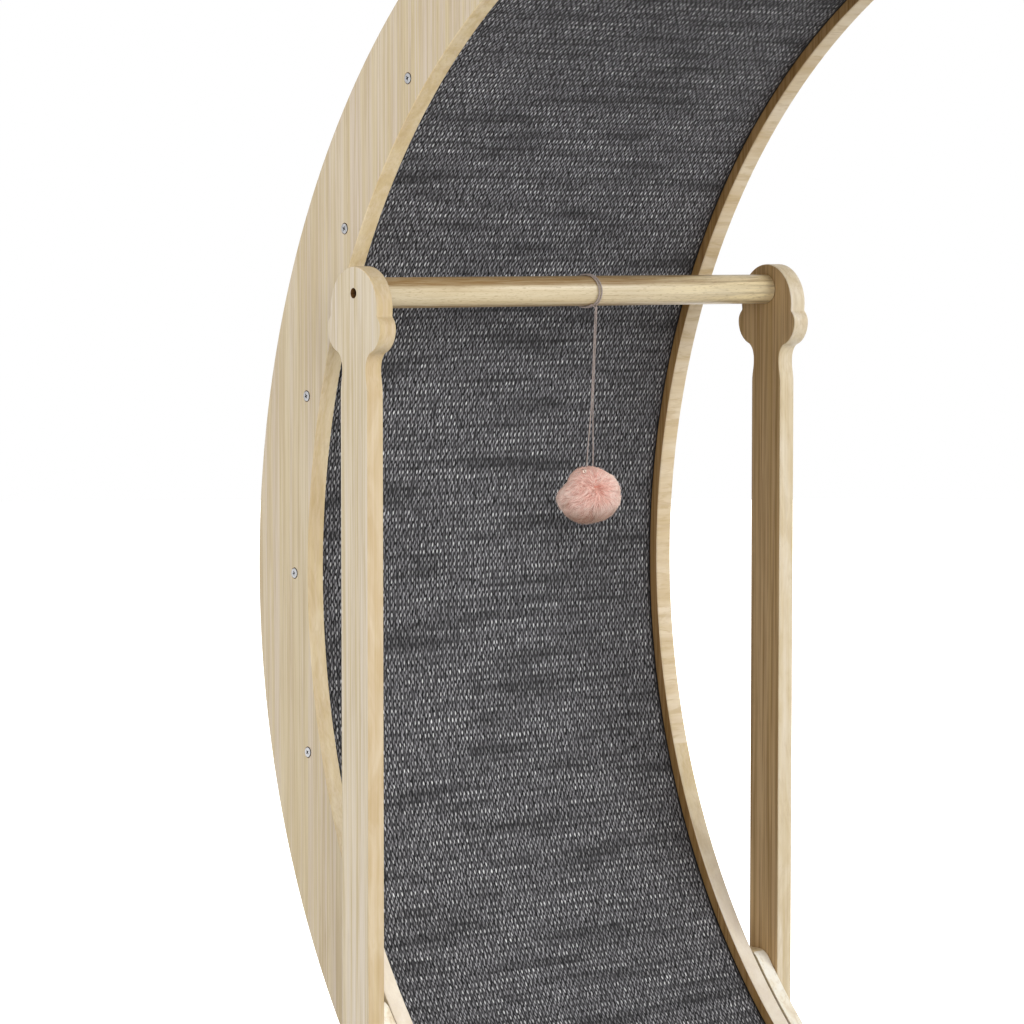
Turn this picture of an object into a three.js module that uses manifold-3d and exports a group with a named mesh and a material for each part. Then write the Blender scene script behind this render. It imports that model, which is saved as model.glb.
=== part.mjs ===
// Cat exercise wheel. Two plywood rings carry a carpeted drum that runs on four flanged rollers
// between two cheek panels. Two tall posts behind the middle hold a bar with a hanging pompom.
// Millimetres. X runs along the wheel's axis, +Y is the back (bar side) and +Z is up.
// The origin is on the floor, under the centre of the wheel.

import * as THREE from 'three';
import { mergeVertices } from 'three/addons/utils/BufferGeometryUtils.js';
import Module from 'manifold-3d';

const wasm = await Module();
wasm.setup();

// ---- driving dimensions -------------------------------------------------------------------

// wheel
const wheelRadius = 500;
const wheelWidth = 305;
const ringWidth = 60.3;
const ringThickness = 12.3;
const matRecess = 6.8; // how far the ring edges stand proud of the running surface
const matThickness = 2.5;
const linerThickness = 2;
const battenThickness = 9;
const battenWidth = 30;
const battenCount = 24;
const wheelSegments = 72;

// ring screws: countersunk holes in the rings, one pair for each batten
const screwHeadDiameter = 7.2;
const screwShankDiameter = 4.2;

// base
const groundClearance = 30;
const cheekThickness = 10.3;
const cheekSetback = 0.7; // the cheek's concave edge stands this far inside the rings' inner edge
const sideClearance = 1; // running gap between a ring and its cheek
const hornFlat = 12.4; // flat top of each cheek horn, from its rounding to its upright edge
const hornFillet = 12;
const cheekArchSpan = 460; // shallow arch along each cheek's bottom edge
const cheekArchRise = 18;
const footHeight = 12;
const footDiameter = 26;
const footInset = 26; // from the inside of the cheek to the middle of the foot
const footStemDiameter = 6;
const footStemLength = 20;
const stretcherHeight = 60;

// rollers
const rollerTreadRadius = 25;
const rollerFlange = 7;
const rollerFlangeThickness = 3.5;
const rollerFlangeGap = 0.7;
const rollerSideGap = 0.5;
const rollerAngle = 30; // degrees either side of the lowest point
const runningGap = 0.3;
const axleDiameter = 8;
const axleThreadInNut = 7;
const bearingOuterDiameter = 22;
const bearingWidth = 7;
const bearingRingWall = 2;
const spacerWall = 2.2;
const capNutAcrossFlats = 13;
const capNutHexHeight = 6.5;
const capNutHeight = 11;
const capNutDomeRadius = 5.4;

// posts and bar
const postThickness = 12.3;
const postWidth = 30.6;
const barInset = 50.4; // the bar's axis inside the running surface
const barAngle = 28.16; // degrees above the wheel's axis, at the back
const barDiameter = 19.9;
const barPilotDiameter = 3.4;
const barPilotDepth = 30;
const barScrewCounterbore = 6.7;
const barScrewCounterboreDepth = 7;

// shaped head of a post, measured from the bar's axis
const headRadius = 26.7;
const headDrop = 9.7;
const lobeReach = 30.2;
const lobeDrop = 22.2;
const lobeTopRadius = 9.4;
const lobeBottomRadius = 16.3;
const lobeFootDrop = 37.7;
const neckHalfWidth = 13.6;
const neckDrop = 48.9;
const shoulderDrop = 63.9;

// toy
const stringDiameter = 1.4;
const stringTurns = 2;
const stringPitch = 2;
const stringSlant = 2.85;
const toyX = 11.4;
const knotRadius = 2;
const knotAngle = 236; // degrees round the bar from +Y, so below it and in front
const strandSpacing = 1.2;
const strandSpread = 5.1;
const strandSplit = 0.55; // share of the drop in which the two strands lie together
const pompomWidth = 42.4;
const pompomHeight = 37.3;
const pompomDrop = 135.7; // from the bar's axis to the pompom's centre

// clearances
const fitGap = 0.2; // between pieces that are fixed to each other
const clearanceHole = 0.2; // round a pin, stem or bearing

// ---- sizes that follow --------------------------------------------------------------------

const wheelHeight = wheelRadius + groundClearance;
const ringInnerRadius = wheelRadius - ringWidth;
const ringInnerX = wheelWidth / 2 - ringThickness;
const matRadius = ringInnerRadius + matRecess;
const barDistance = matRadius - barInset;
const linerRadius = matRadius + matThickness + fitGap;
const battenRadius = linerRadius + linerThickness + fitGap + battenThickness / 2;
const drumLength = 2 * (ringInnerX - fitGap);

const cheekInnerX = wheelWidth / 2 + sideClearance;
const cheekOuterX = cheekInnerX + cheekThickness;
const postInnerX = cheekOuterX + fitGap;
const postCentreY = barDistance * Math.cos(THREE.MathUtils.degToRad(barAngle));
const barHeight = wheelHeight + barDistance * Math.sin(THREE.MathUtils.degToRad(barAngle));
const baseHalfDepth = postCentreY + postWidth / 2;
const stretcherLength = 2 * (cheekInnerX - fitGap);

const rollerRadiusFromAxis = wheelRadius + runningGap + rollerTreadRadius;
const rollerY = rollerRadiusFromAxis * Math.sin(THREE.MathUtils.degToRad(rollerAngle));
const rollerZ = wheelHeight - rollerRadiusFromAxis * Math.cos(THREE.MathUtils.degToRad(rollerAngle));

const knotDistance = barDiameter / 2 + 2 * runningGap + stringDiameter + knotRadius;

// ---- finishes -----------------------------------------------------------------------------

const finish = (color, roughness, metalness) => (
  new THREE.MeshStandardMaterial({ color, roughness, metalness })
);
const paleWood = finish(0xd8c49c, 0.55, 0);
const plywood = finish(0xc2a374, 0.7, 0);
const battenWood = finish(0xcdb488, 0.75, 0);
const carpet = finish(0x4b4c50, 0.95, 0);
const steel = finish(0xb5b7ba, 0.35, 0.9);
const darkNylon = finish(0x2b2c2e, 0.6, 0);
const footRubber = finish(0x222222, 0.85, 0);
const string = finish(0x9a9088, 0.9, 0);
const pinkFur = finish(0xeaa79c, 0.95, 0);

// ---- helpers ------------------------------------------------------------------------------

const degrees = (angle) => THREE.MathUtils.degToRad(angle);

function piece(name, geometry, material) {
  const mesh = new THREE.Mesh(geometry, material);
  mesh.name = name;
  return mesh;
}

// an outline drawn in Y and Z, given a thickness along X from x = 0
function boardGeometry(outline, thickness, curveSegments) {
  const geometry = new THREE.ExtrudeGeometry(outline, {
    depth: thickness,
    bevelEnabled: false,
    curveSegments,
  });
  const standUp = new THREE.Matrix4().makeBasis(
    new THREE.Vector3(0, 1, 0),
    new THREE.Vector3(0, 0, 1),
    new THREE.Vector3(1, 0, 0),
  );
  return geometry.applyMatrix4(standUp);
}

// a profile of [x, radius] points turned about the X axis
function turnedGeometry(profile, segments) {
  const points = profile.map(([x, radius]) => new THREE.Vector2(radius, x));
  const geometry = new THREE.LatheGeometry(points, segments);
  return geometry.rotateZ(-Math.PI / 2);
}

function weld(geometry) {
  const bare = geometry.clone();
  bare.deleteAttribute('normal');
  bare.deleteAttribute('uv');
  return mergeVertices(bare, 1e-4);
}

function toSolid(geometry) {
  const merged = weld(geometry);
  const mesh = new wasm.Mesh({
    numProp: 3,
    vertProperties: new Float32Array(merged.attributes.position.array),
    triVerts: new Uint32Array(merged.index.array),
  });
  return new wasm.Manifold(mesh);
}

function toGeometry(solid) {
  const mesh = solid.getMesh();
  const geometry = new THREE.BufferGeometry();
  geometry.setAttribute('position', new THREE.BufferAttribute(mesh.vertProperties, 3));
  geometry.setIndex(new THREE.BufferAttribute(mesh.triVerts, 1));
  geometry.computeVertexNormals();
  return geometry;
}

function cut(geometry, tools) {
  let solid = toSolid(geometry);
  for (const tool of tools) {
    solid = solid.subtract(toSolid(tool));
  }
  return toGeometry(solid);
}

function tube(points, diameter, sides, steps) {
  const section = new THREE.Shape();
  for (let side = 0; side < sides; side += 1) {
    const angle = (2 * Math.PI * side) / sides;
    const corner = [(diameter / 2) * Math.cos(angle), (diameter / 2) * Math.sin(angle)];
    if (side === 0) {
      section.moveTo(...corner);
    } else {
      section.lineTo(...corner);
    }
  }
  section.closePath();
  return new THREE.ExtrudeGeometry(section, {
    steps,
    extrudePath: new THREE.CatmullRomCurve3(points),
  });
}

const sides = [
  { label: 'left', sign: -1 },
  { label: 'right', sign: 1 },
];
const ends = [
  { label: 'front', sign: -1 },
  { label: 'back', sign: 1 },
];

// ---- the wheel ----------------------------------------------------------------------------

function ringGeometry(sign) {
  const outline = new THREE.Shape();
  outline.absarc(0, 0, wheelRadius, 0, 2 * Math.PI);
  const eye = new THREE.Path();
  eye.absarc(0, 0, ringInnerRadius, 0, 2 * Math.PI, true);
  outline.holes.push(eye);
  const board = boardGeometry(outline, ringThickness, wheelSegments / 2);
  board.translate(sign < 0 ? -wheelWidth / 2 : ringInnerX, 0, 0);

  const headRadiusHere = screwHeadDiameter / 2;
  const shankRadius = screwShankDiameter / 2;
  const sinkDepth = headRadiusHere - shankRadius;
  const overrun = 1;
  const holeProfile = [
    [-overrun, 0],
    [-overrun, headRadiusHere],
    [0, headRadiusHere],
    [sinkDepth, shankRadius],
    [ringThickness + overrun, shankRadius],
    [ringThickness + overrun, 0],
  ];
  const holes = [];
  for (let index = 0; index < battenCount; index += 1) {
    const angle = (2 * Math.PI * index) / battenCount;
    const hole = turnedGeometry(holeProfile, 8);
    if (sign > 0) {
      hole.rotateZ(Math.PI);
    }
    hole.translate((sign * wheelWidth) / 2, battenRadius, 0);
    hole.rotateX(angle);
    holes.push(hole);
  }
  return cut(board, holes);
}

function hoopGeometry(innerRadius, thickness) {
  const half = drumLength / 2;
  const outerRadius = innerRadius + thickness;
  return turnedGeometry([
    [-half, innerRadius],
    [-half, outerRadius],
    [half, outerRadius],
    [half, innerRadius],
    [-half, innerRadius],
  ], wheelSegments);
}

function buildWheel() {
  const wheel = new THREE.Group();
  wheel.position.set(0, 0, wheelHeight);
  for (const { label, sign } of sides) {
    wheel.add(piece(`ring_${label}`, ringGeometry(sign), paleWood));
  }
  wheel.add(piece('running_mat', hoopGeometry(matRadius, matThickness), carpet));
  wheel.add(piece('drum_liner', hoopGeometry(linerRadius, linerThickness), plywood));
  for (let index = 0; index < battenCount; index += 1) {
    const angle = (2 * Math.PI * index) / battenCount;
    const number = String(index + 1).padStart(2, '0');
    const board = new THREE.BoxGeometry(drumLength, battenThickness, battenWidth);
    const batten = piece(`batten_${number}`, board, battenWood);
    batten.position.set(0, battenRadius * Math.cos(angle), battenRadius * Math.sin(angle));
    batten.rotation.x = angle;
    wheel.add(batten);
  }
  return wheel;
}

// ---- the base -----------------------------------------------------------------------------

// the axle bolts and the rollers turn about these four points of the base
const axlePlaces = ends.map(({ label, sign }) => ({ label, y: sign * rollerY }));

function cheekGeometry() {
  const bottom = footHeight;
  const cheekRadius = ringInnerRadius - cheekSetback;
  const filletDistance = cheekRadius + hornFillet;
  const filletY = baseHalfDepth - hornFlat;
  const filletDrop = Math.sqrt(filletDistance ** 2 - filletY ** 2);
  const filletZ = wheelHeight - filletDrop;
  const filletAngle = Math.atan2(filletDrop, filletY);
  const top = filletZ + hornFillet;
  const archRadius = (cheekArchSpan ** 2 / 4 + cheekArchRise ** 2) / (2 * cheekArchRise);
  const archCentreZ = bottom + cheekArchRise - archRadius;
  const archAngle = Math.asin(cheekArchSpan / 2 / archRadius);

  const outline = new THREE.Shape();
  outline.moveTo(-baseHalfDepth, bottom);
  outline.lineTo(-cheekArchSpan / 2, bottom);
  outline.absarc(0, archCentreZ, archRadius, Math.PI / 2 + archAngle, Math.PI / 2 - archAngle, true);
  outline.lineTo(baseHalfDepth, bottom);
  outline.lineTo(baseHalfDepth, top);
  outline.absarc(filletY, filletZ, hornFillet, Math.PI / 2, Math.PI - filletAngle, false);
  outline.absarc(0, wheelHeight, cheekRadius, -filletAngle, filletAngle - Math.PI, true);
  outline.absarc(-filletY, filletZ, hornFillet, filletAngle, Math.PI / 2, false);
  outline.lineTo(-baseHalfDepth, top);
  outline.closePath();

  for (const { y } of axlePlaces) {
    const hole = new THREE.Path();
    hole.absarc(y, rollerZ, axleDiameter / 2 + clearanceHole, 0, 2 * Math.PI, true);
    outline.holes.push(hole);
  }
  return boardGeometry(outline, cheekThickness, 12);
}

// half of the post's outline, from the shoulder up to the top of the head
function traceHead(outline, side) {
  const lobeTopX = lobeReach - lobeTopRadius;
  const lobeBottomX = lobeReach - lobeBottomRadius;
  const lobeFootAngle = Math.asin((lobeFootDrop - lobeDrop) / lobeBottomRadius);
  const lobeFootX = lobeBottomX + lobeBottomRadius * Math.cos(lobeFootAngle);
  const scoop = neckDrop - lobeFootDrop;
  const ease = shoulderDrop - neckDrop;
  const notch = circleMeeting(lobeTopX, -lobeDrop, lobeTopRadius, 0, -headDrop, headRadius);
  const lobeTopAngle = Math.atan2(notch.z + lobeDrop, notch.y - lobeTopX);
  const headAngle = Math.atan2(notch.z + headDrop, notch.y);
  const half = postWidth / 2;

  if (side > 0) {
    outline.lineTo(half, -shoulderDrop);
    outline.bezierCurveTo(
      half, -shoulderDrop + ease * 0.4,
      neckHalfWidth, -neckDrop - ease * 0.4,
      neckHalfWidth, -neckDrop,
    );
    outline.bezierCurveTo(
      neckHalfWidth, -neckDrop + scoop * 0.5,
      lobeFootX - scoop * 0.3, -lobeFootDrop - scoop * 0.15,
      lobeFootX, -lobeFootDrop,
    );
    outline.absarc(lobeBottomX, -lobeDrop, lobeBottomRadius, -lobeFootAngle, 0, false);
    outline.absarc(lobeTopX, -lobeDrop, lobeTopRadius, 0, lobeTopAngle, false);
    outline.absarc(0, -headDrop, headRadius, headAngle, Math.PI - headAngle, false);
    return;
  }
  outline.absarc(-lobeTopX, -lobeDrop, lobeTopRadius, Math.PI - lobeTopAngle, Math.PI, false);
  outline.absarc(
    -lobeBottomX, -lobeDrop, lobeBottomRadius, Math.PI, Math.PI + lobeFootAngle, false,
  );
  outline.bezierCurveTo(
    -lobeFootX + scoop * 0.3, -lobeFootDrop - scoop * 0.15,
    -neckHalfWidth, -neckDrop + scoop * 0.5,
    -neckHalfWidth, -neckDrop,
  );
  outline.bezierCurveTo(
    -neckHalfWidth, -neckDrop - ease * 0.4,
    -half, -shoulderDrop + ease * 0.4,
    -half, -shoulderDrop,
  );
}

// the outer of the two points where circle a and circle b cross
function circleMeeting(ay, az, aRadius, by, bz, bRadius) {
  const apart = Math.hypot(by - ay, bz - az);
  const along = (aRadius ** 2 - bRadius ** 2 + apart ** 2) / (2 * apart);
  const across = Math.sqrt(aRadius ** 2 - along ** 2);
  const ey = (by - ay) / apart;
  const ez = (bz - az) / apart;
  const first = { y: ay + along * ey + across * ez, z: az + along * ez - across * ey };
  const second = { y: ay + along * ey - across * ez, z: az + along * ez + across * ey };
  return first.y > second.y ? first : second;
}

function postGeometry(sign) {
  const half = postWidth / 2;
  const bottom = footHeight - barHeight;
  const outline = new THREE.Shape();
  outline.moveTo(-half, bottom);
  outline.lineTo(half, bottom);
  traceHead(outline, 1);
  traceHead(outline, -1);
  outline.closePath();
  const board = boardGeometry(outline, postThickness, 10);
  board.translate(sign < 0 ? -postThickness : 0, 0, 0);

  const overrun = 1;
  const boreRadius = barScrewCounterbore / 2;
  const shankRadius = screwShankDiameter / 2;
  const shoulderX = postThickness - barScrewCounterboreDepth;
  const hole = turnedGeometry([
    [-overrun, 0],
    [-overrun, shankRadius],
    [shoulderX, shankRadius],
    [shoulderX, boreRadius],
    [postThickness + overrun, boreRadius],
    [postThickness + overrun, 0],
  ], 16);
  if (sign < 0) {
    hole.rotateZ(Math.PI);
  }
  return cut(board, [hole]);
}

function stretcherGeometry() {
  const board = new THREE.BoxGeometry(stretcherLength, postWidth, stretcherHeight);
  const depth = footStemLength + clearanceHole;
  const radius = footStemDiameter / 2 + clearanceHole;
  const holes = sides.map(({ sign }) => {
    const hole = new THREE.CylinderGeometry(radius, radius, 2 * depth, 12);
    hole.rotateX(Math.PI / 2);
    return hole.translate(sign * (cheekInnerX - footInset), 0, -stretcherHeight / 2);
  });
  return cut(board, holes);
}

function footGeometry() {
  const baseRadius = footDiameter / 2;
  const waistRadius = baseRadius * 0.78;
  const rimHeight = footHeight * 0.3;
  const seat = footHeight - fitGap;
  const stemRadius = footStemDiameter / 2;
  const stemTop = footHeight + footStemLength;
  const points = [
    new THREE.Vector2(0, 0),
    new THREE.Vector2(baseRadius, 0),
    new THREE.Vector2(baseRadius, rimHeight),
    new THREE.Vector2(waistRadius, seat),
    new THREE.Vector2(stemRadius, seat),
    new THREE.Vector2(stemRadius, stemTop),
    new THREE.Vector2(0, stemTop),
  ];
  return new THREE.LatheGeometry(points, 18).rotateX(Math.PI / 2);
}

function axleGeometry() {
  const half = cheekOuterX + fitGap + axleThreadInNut;
  const radius = axleDiameter / 2;
  return turnedGeometry([[-half, 0], [-half, radius], [half, radius], [half, 0]], 16);
}

function spacerGeometry() {
  const half = bearingInnerEndX - fitGap;
  const bore = axleDiameter / 2 + clearanceHole;
  const outer = bore + spacerWall;
  return turnedGeometry([
    [-half, bore],
    [-half, outer],
    [half, outer],
    [half, bore],
    [-half, bore],
  ], 16);
}

// domed cap nut that closes one end of an axle; x = 0 is its face on the cheek
function capNutGeometry() {
  const hexRadius = capNutAcrossFlats / 2 / Math.cos(Math.PI / 6);
  const hex = new THREE.CylinderGeometry(hexRadius, hexRadius, capNutHexHeight, 6);
  hex.rotateZ(Math.PI / 2);
  hex.translate(capNutHexHeight / 2, 0, 0);
  const domeStraight = capNutHexHeight + 1;
  const domeRise = capNutHeight - domeStraight;
  const profile = [[capNutHexHeight / 2, 0], [capNutHexHeight / 2, capNutDomeRadius]];
  const domeSteps = 3;
  for (let step = 0; step < domeSteps; step += 1) {
    const angle = ((Math.PI / 2) * step) / domeSteps;
    profile.push([
      domeStraight + domeRise * Math.sin(angle),
      capNutDomeRadius * Math.cos(angle),
    ]);
  }
  profile.push([capNutHeight, 0]);
  const dome = turnedGeometry(profile, 12);
  const boreRadius = axleDiameter / 2 + clearanceHole;
  const boreDepth = axleThreadInNut + 1;
  const bore = turnedGeometry([
    [-1, 0],
    [-1, boreRadius],
    [boreDepth, boreRadius],
    [boreDepth, 0],
  ], 12);
  return toGeometry(toSolid(hex).add(toSolid(dome)).subtract(toSolid(bore)));
}

function barGeometry() {
  const half = postInnerX - fitGap;
  const radius = barDiameter / 2;
  const pilot = barPilotDiameter / 2;
  const pilotEnd = half - barPilotDepth;
  return turnedGeometry([
    [-pilotEnd, 0],
    [-pilotEnd, pilot],
    [-half, pilot],
    [-half, radius],
    [half, radius],
    [half, pilot],
    [pilotEnd, pilot],
    [pilotEnd, 0],
  ], 24);
}

function buildBase() {
  const base = new THREE.Group();
  for (const { label, sign } of sides) {
    const cheek = piece(`cheek_${label}`, cheekGeometry(), paleWood);
    cheek.position.x = sign < 0 ? -cheekOuterX : cheekInnerX;
    base.add(cheek);

    const post = piece(`post_${label}`, postGeometry(sign), paleWood);
    post.position.set(sign * postInnerX, postCentreY, barHeight);
    base.add(post);
  }

  for (const { label, sign } of ends) {
    const stretcher = piece(`stretcher_${label}`, stretcherGeometry(), paleWood);
    stretcher.position.set(0, sign * postCentreY, footHeight + stretcherHeight / 2);
    base.add(stretcher);
    for (const side of sides) {
      const foot = piece(`foot_${label}_${side.label}`, footGeometry(), footRubber);
      foot.position.set(side.sign * (cheekInnerX - footInset), sign * postCentreY, 0);
      base.add(foot);
    }
  }

  for (const { label, y } of axlePlaces) {
    const axle = piece(`axle_${label}`, axleGeometry(), steel);
    const spacer = piece(`axle_spacer_${label}`, spacerGeometry(), steel);
    axle.position.set(0, y, rollerZ);
    spacer.position.set(0, y, rollerZ);
    base.add(axle, spacer);
    for (const side of sides) {
      const nut = piece(`cap_nut_${label}_${side.label}`, capNutGeometry(), steel);
      nut.position.set(side.sign * (cheekOuterX + fitGap), y, rollerZ);
      nut.rotation.y = side.sign < 0 ? Math.PI : 0;
      base.add(nut);
    }
  }

  const bar = piece('toy_bar', barGeometry(), paleWood);
  bar.position.set(0, postCentreY, barHeight);
  base.add(bar);
  return base;
}

// ---- the rollers --------------------------------------------------------------------------

// stations along the axle on the right-hand side, from the cheek inwards
const rollerOuterX = cheekInnerX - rollerSideGap;
const rollerTreadEndX = ringInnerX - rollerFlangeGap;
const rollerInnerX = rollerTreadEndX - rollerFlangeThickness;
const bearingSeatX = rollerInnerX + (rollerOuterX - rollerInnerX - bearingWidth) / 2;
const bearingInnerEndX = rollerInnerX + clearanceHole;

function rollerGeometry() {
  const seatRadius = bearingOuterDiameter / 2 + clearanceHole;
  const webRadius = axleDiameter / 2 + clearanceHole + bearingRingWall + 1;
  const flangeRadius = rollerTreadRadius + rollerFlange;
  const shoulderX = bearingSeatX + bearingWidth + clearanceHole;
  const edge = 1;
  return turnedGeometry([
    [rollerInnerX, seatRadius],
    [rollerInnerX, flangeRadius - edge],
    [rollerInnerX + edge, flangeRadius],
    [rollerTreadEndX - edge, flangeRadius],
    [rollerTreadEndX, rollerTreadRadius + edge],
    [rollerTreadEndX, rollerTreadRadius],
    [rollerOuterX - edge, rollerTreadRadius],
    [rollerOuterX, rollerTreadRadius - edge],
    [rollerOuterX, webRadius],
    [shoulderX, webRadius],
    [shoulderX, seatRadius],
    [rollerInnerX, seatRadius],
  ], 24);
}

// the inner ring reaches from the cheek to the spacer, so the outer ring never rubs
function bearingGeometry() {
  const bore = axleDiameter / 2 + clearanceHole;
  const innerRing = bore + bearingRingWall;
  const outer = bearingOuterDiameter / 2;
  const outerRing = outer - bearingRingWall;
  const shieldDepth = 0.5;
  const seatEndX = bearingSeatX + bearingWidth;
  const cheekEndX = cheekInnerX - fitGap;
  return turnedGeometry([
    [bearingInnerEndX, bore],
    [bearingInnerEndX, innerRing],
    [bearingSeatX + shieldDepth, innerRing],
    [bearingSeatX + shieldDepth, outerRing],
    [bearingSeatX, outerRing],
    [bearingSeatX, outer],
    [seatEndX, outer],
    [seatEndX, outerRing],
    [seatEndX - shieldDepth, outerRing],
    [seatEndX - shieldDepth, innerRing],
    [cheekEndX, innerRing],
    [cheekEndX, bore],
    [bearingInnerEndX, bore],
  ], 16);
}

function buildRollers() {
  const rollers = new THREE.Group();
  for (const { label, y } of axlePlaces) {
    for (const side of sides) {
      const turned = new THREE.Group();
      turned.position.set(0, y, rollerZ);
      turned.rotation.y = side.sign < 0 ? Math.PI : 0;
      turned.add(piece(`roller_${label}_${side.label}`, rollerGeometry(), darkNylon));
      turned.add(piece(`bearing_${label}_${side.label}`, bearingGeometry(), steel));
      rollers.add(turned);
    }
  }
  return rollers;
}

// ---- the toy, measured from the bar's axis ------------------------------------------------

const knot = new THREE.Vector3(
  0,
  knotDistance * Math.cos(degrees(knotAngle)),
  knotDistance * Math.sin(degrees(knotAngle)),
);

// the string passes twice round the bar, its turns side by side
function windingPoints() {
  const radius = barDiameter / 2 + runningGap + stringDiameter / 2;
  const turnSteps = 24;
  const points = [];
  for (let step = 0; step <= stringTurns * turnSteps; step += 1) {
    const turn = step / turnSteps;
    const angle = degrees(knotAngle) + 2 * Math.PI * turn;
    points.push(new THREE.Vector3(
      stringPitch * (turn - stringTurns) - stringSlant * Math.cos(angle),
      radius * Math.cos(angle),
      radius * Math.sin(angle),
    ));
  }
  return points;
}

function leastGap(points, diameter) {
  let least = Infinity;
  const apart = 6;
  for (let i = 0; i < points.length; i += 1) {
    for (let j = i + apart; j < points.length; j += 1) {
      least = Math.min(least, points[i].distanceTo(points[j]) - diameter);
    }
  }
  return least;
}

function pompomTopAt(x) {
  const share = x / (pompomWidth / 2);
  return -pompomDrop + (pompomHeight / 2) * Math.sqrt(1 - share ** 2);
}

// one of the two strands, hanging from the knot to the top of the pompom
function strandGeometry(sign) {
  const topZ = knot.z - knotRadius - runningGap;
  const endX = (sign * strandSpread) / 2;
  const endZ = pompomTopAt(endX) + runningGap;
  const lean = (z) => knot.y * ((z + pompomDrop) / (knot.z + pompomDrop));
  const stations = 8;
  const points = [];
  for (let station = 0; station <= stations; station += 1) {
    const share = station / stations;
    const z = THREE.MathUtils.lerp(topZ, endZ, share);
    const opening = THREE.MathUtils.smoothstep(share, strandSplit, 1);
    const x = THREE.MathUtils.lerp((sign * strandSpacing) / 2, endX, opening);
    points.push(new THREE.Vector3(x, lean(z), z));
  }
  return tube(points, stringDiameter, 8, 14);
}

function buildToy() {
  const toy = new THREE.Group();
  toy.position.set(toyX, postCentreY, barHeight);

  const winding = windingPoints();
  console.log(`least gap of the string to itself ${leastGap(winding, stringDiameter).toFixed(2)} mm`);
  toy.add(piece('string_loop', tube(winding, stringDiameter, 6, stringTurns * 24), string));

  const knotBall = new THREE.SphereGeometry(knotRadius, 8, 6);
  knotBall.translate(knot.x, knot.y, knot.z);
  toy.add(piece('string_knot', knotBall, string));

  const strands = toSolid(strandGeometry(-1)).add(toSolid(strandGeometry(1)));
  toy.add(piece('string_drop', toGeometry(strands), string));

  const fur = new THREE.SphereGeometry(1, 18, 12);
  fur.rotateX(Math.PI / 2);
  fur.scale(pompomWidth / 2, pompomWidth / 2, pompomHeight / 2);
  const pompom = piece('pompom', fur, pinkFur);
  pompom.position.z = -pompomDrop;
  toy.add(pompom);
  return toy;
}

// ---- the whole ----------------------------------------------------------------------------

const catWheel = new THREE.Group();
catWheel.add(buildBase(), buildRollers(), buildWheel(), buildToy());

export default catWheel;
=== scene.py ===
import math
import random

import bpy
from mathutils import Matrix, Vector, noise


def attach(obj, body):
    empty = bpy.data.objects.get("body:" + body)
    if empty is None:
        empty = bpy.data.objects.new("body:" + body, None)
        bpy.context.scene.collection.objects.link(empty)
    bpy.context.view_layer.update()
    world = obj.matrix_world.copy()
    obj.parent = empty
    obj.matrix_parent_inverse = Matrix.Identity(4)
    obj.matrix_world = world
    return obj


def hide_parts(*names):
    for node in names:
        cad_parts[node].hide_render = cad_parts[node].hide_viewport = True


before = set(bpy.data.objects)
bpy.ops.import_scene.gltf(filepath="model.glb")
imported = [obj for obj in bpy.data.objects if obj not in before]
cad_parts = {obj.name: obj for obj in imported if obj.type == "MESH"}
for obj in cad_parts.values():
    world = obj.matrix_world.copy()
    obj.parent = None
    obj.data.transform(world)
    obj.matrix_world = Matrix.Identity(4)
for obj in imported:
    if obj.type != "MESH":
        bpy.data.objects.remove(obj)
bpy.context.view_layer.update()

# Cat exercise wheel: carpeted drum on flanged rollers, two posts with a toy bar behind its middle.
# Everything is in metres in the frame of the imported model: X along the wheel's axis, +Y the back.

pi = math.pi
wheelCentre = Vector((0, 0, 0.53))
sides = (("left", -1), ("right", 1))
ends = (("front", -1), ("back", 1))


# ways of working that every piece uses

def clearSelection():
    if bpy.context.object and bpy.context.object.mode != "OBJECT":
        bpy.ops.object.mode_set(mode="OBJECT")
    bpy.ops.object.select_all(action="DESELECT")


def pick(piece):
    clearSelection()
    piece.select_set(True)
    bpy.context.view_layer.objects.active = piece


def startEdit(piece):
    pick(piece)
    bpy.ops.object.mode_set(mode="EDIT")
    bpy.ops.mesh.select_all(action="SELECT")


def endEdit():
    bpy.ops.object.mode_set(mode="OBJECT")


def nameIt(piece, name):
    piece.name = name
    piece.data.name = name
    return piece


def applyModifier(piece, kind, **settings):
    pick(piece)
    modifier = piece.modifiers.new(kind.title(), kind)
    for key, value in settings.items():
        setattr(modifier, key, value)
    bpy.ops.object.modifier_apply(modifier=modifier.name)


def softenEdges(piece, width, segments=3, angle=30):
    applyModifier(piece, "BEVEL", width=width, segments=segments, limit_method="ANGLE",
                  angle_limit=math.radians(angle), miter_outer="MITER_ARC")


def smooth(piece, angle=40, weighted=False):
    pick(piece)
    bpy.ops.object.shade_smooth_by_angle(angle=math.radians(angle))
    if weighted:
        applyModifier(piece, "WEIGHTED_NORMAL", keep_sharp=True)


def joinAll(pieces, name):
    clearSelection()
    for piece in pieces:
        piece.select_set(True)
    bpy.context.view_layer.objects.active = pieces[0]
    if len(pieces) > 1:
        bpy.ops.object.join()
    return nameIt(bpy.context.object, name)


def cutAway(piece, cutters):
    cutter = joinAll(cutters, "cutter")
    applyModifier(piece, "BOOLEAN", operation="DIFFERENCE", solver="EXACT", object=cutter)
    bpy.data.objects.remove(cutter)


def copyOf(piece, name, matrix):
    made = bpy.data.objects.new(name, piece.data.copy())
    made.data.name = name
    bpy.context.collection.objects.link(made)
    made.data.transform(matrix)
    if matrix.determinant() < 0:
        startEdit(made)
        bpy.ops.mesh.flip_normals()
        endEdit()
    return made


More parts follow.
